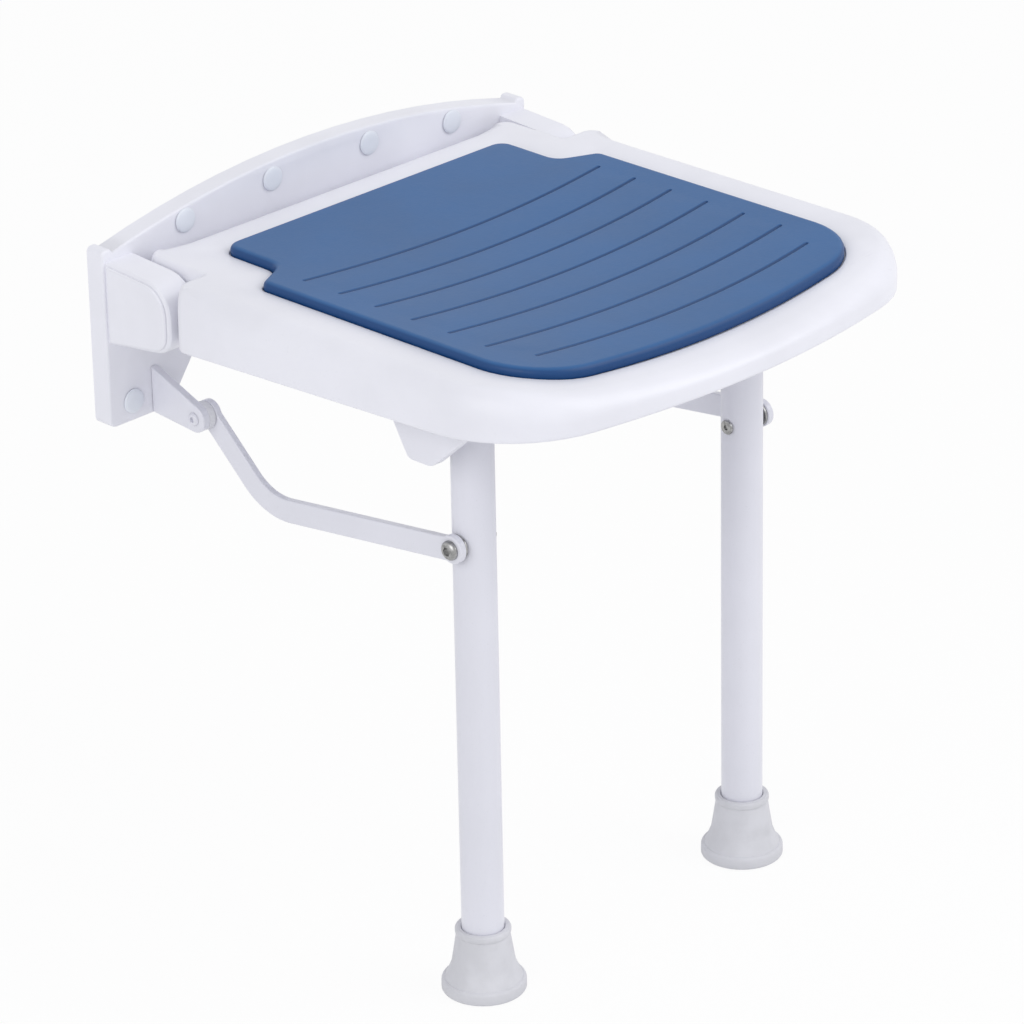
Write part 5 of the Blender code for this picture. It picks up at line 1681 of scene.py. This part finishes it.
def make_floor():
    """A pale floor that keeps a faint shadow."""
    deselect()
    bpy.ops.mesh.primitive_plane_add(size=FLOOR_SIZE, location=(0, 0, FLOOR - 0.0005))
    floor = bpy.context.object
    floor.name = "floor"
    bpy.ops.object.transform_apply(location=True, rotation=False, scale=True)
    material = bpy.data.materials.new("floor")
    material.use_nodes = True
    tree = material.node_tree
    matt = tree.nodes["Principled BSDF"]
    matt.inputs["Base Color"].default_value = (0.90, 0.90, 0.90, 1)
    matt.inputs["Roughness"].default_value = 0.9
    white = tree.nodes.new("ShaderNodeEmission")
    white.inputs["Color"].default_value = (1, 1, 1, 1)
    white.inputs["Strength"].default_value = 1.0
    share = tree.nodes.new("ShaderNodeMath")
    share.operation = "MULTIPLY"
    share.inputs[1].default_value = FLOOR_WHITE
    tree.links.new(seen_directly(tree), share.inputs[0])
    blend_shaders(tree, share.outputs[0], matt, white, "Material Output")
    floor.data.materials.append(material)


def add_lamp(name, place, size, power):
    """A soft panel lamp that shines at the seat."""
    deselect()
    bpy.ops.object.light_add(type="AREA", location=place)
    lamp = bpy.context.object
    lamp.name = name
    lamp.data.shape = "RECTANGLE"
    lamp.data.size = size[0]
    lamp.data.size_y = size[1]
    lamp.data.energy = power
    lamp.rotation_euler = (LAMP_TARGET - Vector(place)).to_track_quat("-Z", "Y").to_euler()


class SHOWERSEAT_OT_stage(bpy.types.Operator):
    """Sets the camera, the floor and the studio lights"""

    bl_idname = "showerseat.stage"
    bl_label = "Stage"

    def execute(self, context):
        make_camera()
        make_world()
        make_floor()
        add_lamp("left", (-2.7, -0.8, 1.3), (2.2, 1.8), 22)
        add_lamp("right", (1.4, -2.4, 2.0), (2.4, 2.2), 36)
        context.scene.view_settings.view_transform = "Standard"
        return {"FINISHED"}


class SHOWERSEAT_OT_finishes(bpy.types.Operator):
    """Makes the finishes of plastic, powder coat, foam, rubber, nylon and steel"""

    bl_idname = "showerseat.finishes"
    bl_label = "Finishes"

    def execute(self, context):
        for slot, (make, name) in FINISHES.items():
            MATERIALS[slot] = make(slot, tuple(getattr(context.scene.seat_colours, name)))
        return {"FINISHED"}


class SHOWERSEAT_PT_panel(bpy.types.Panel):
    """Lists the sizes, the colours and the steps"""

    bl_idname = "SHOWERSEAT_PT_panel"
    bl_label = "Shower Seat"
    bl_space_type = "VIEW_3D"
    bl_region_type = "UI"
    bl_category = "Shower Seat"

    def draw(self, context):
        scene = context.scene
        for group in (scene.seat_sizes, scene.pad_sizes, scene.leg_sizes, scene.seat_colours):
            box = self.layout.box()
            for name in group.bl_rna.properties.keys():
                if name not in ("rna_type", "name"):
                    box.prop(group, name)
        for operator in OPERATORS:
            self.layout.operator(operator.bl_idname)


OPERATORS = (
    SHOWERSEAT_OT_finishes,
    SHOWERSEAT_OT_bracket,
    SHOWERSEAT_OT_caps,
    SHOWERSEAT_OT_covers,
    SHOWERSEAT_OT_lugs,
    SHOWERSEAT_OT_seat,
    SHOWERSEAT_OT_ribs,
    SHOWERSEAT_OT_pad,
    SHOWERSEAT_OT_pivots,
    SHOWERSEAT_OT_legs,
    SHOWERSEAT_OT_feet,
    SHOWERSEAT_OT_bolts,
    SHOWERSEAT_OT_links,
    SHOWERSEAT_OT_stage,
)

CLASSES = (SeatSizes, PadSizes, LegSizes, Colours, *OPERATORS, SHOWERSEAT_PT_panel)


def register():
    for item in CLASSES:
        bpy.utils.register_class(item)
    bpy.types.Scene.seat_sizes = bpy.props.PointerProperty(type=SeatSizes)
    bpy.types.Scene.pad_sizes = bpy.props.PointerProperty(type=PadSizes)
    bpy.types.Scene.leg_sizes = bpy.props.PointerProperty(type=LegSizes)
    bpy.types.Scene.seat_colours = bpy.props.PointerProperty(type=Colours)


def unregister():
    del bpy.types.Scene.seat_colours
    del bpy.types.Scene.leg_sizes
    del bpy.types.Scene.pad_sizes
    del bpy.types.Scene.seat_sizes
    for item in reversed(CLASSES):
        bpy.utils.unregister_class(item)


def main():
    """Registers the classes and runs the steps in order."""
    register()
    for operator in OPERATORS:
        _, name = operator.bl_idname.split(".")
        getattr(bpy.ops.showerseat, name)()
    deselect()


if __name__ == "__main__":
    main()
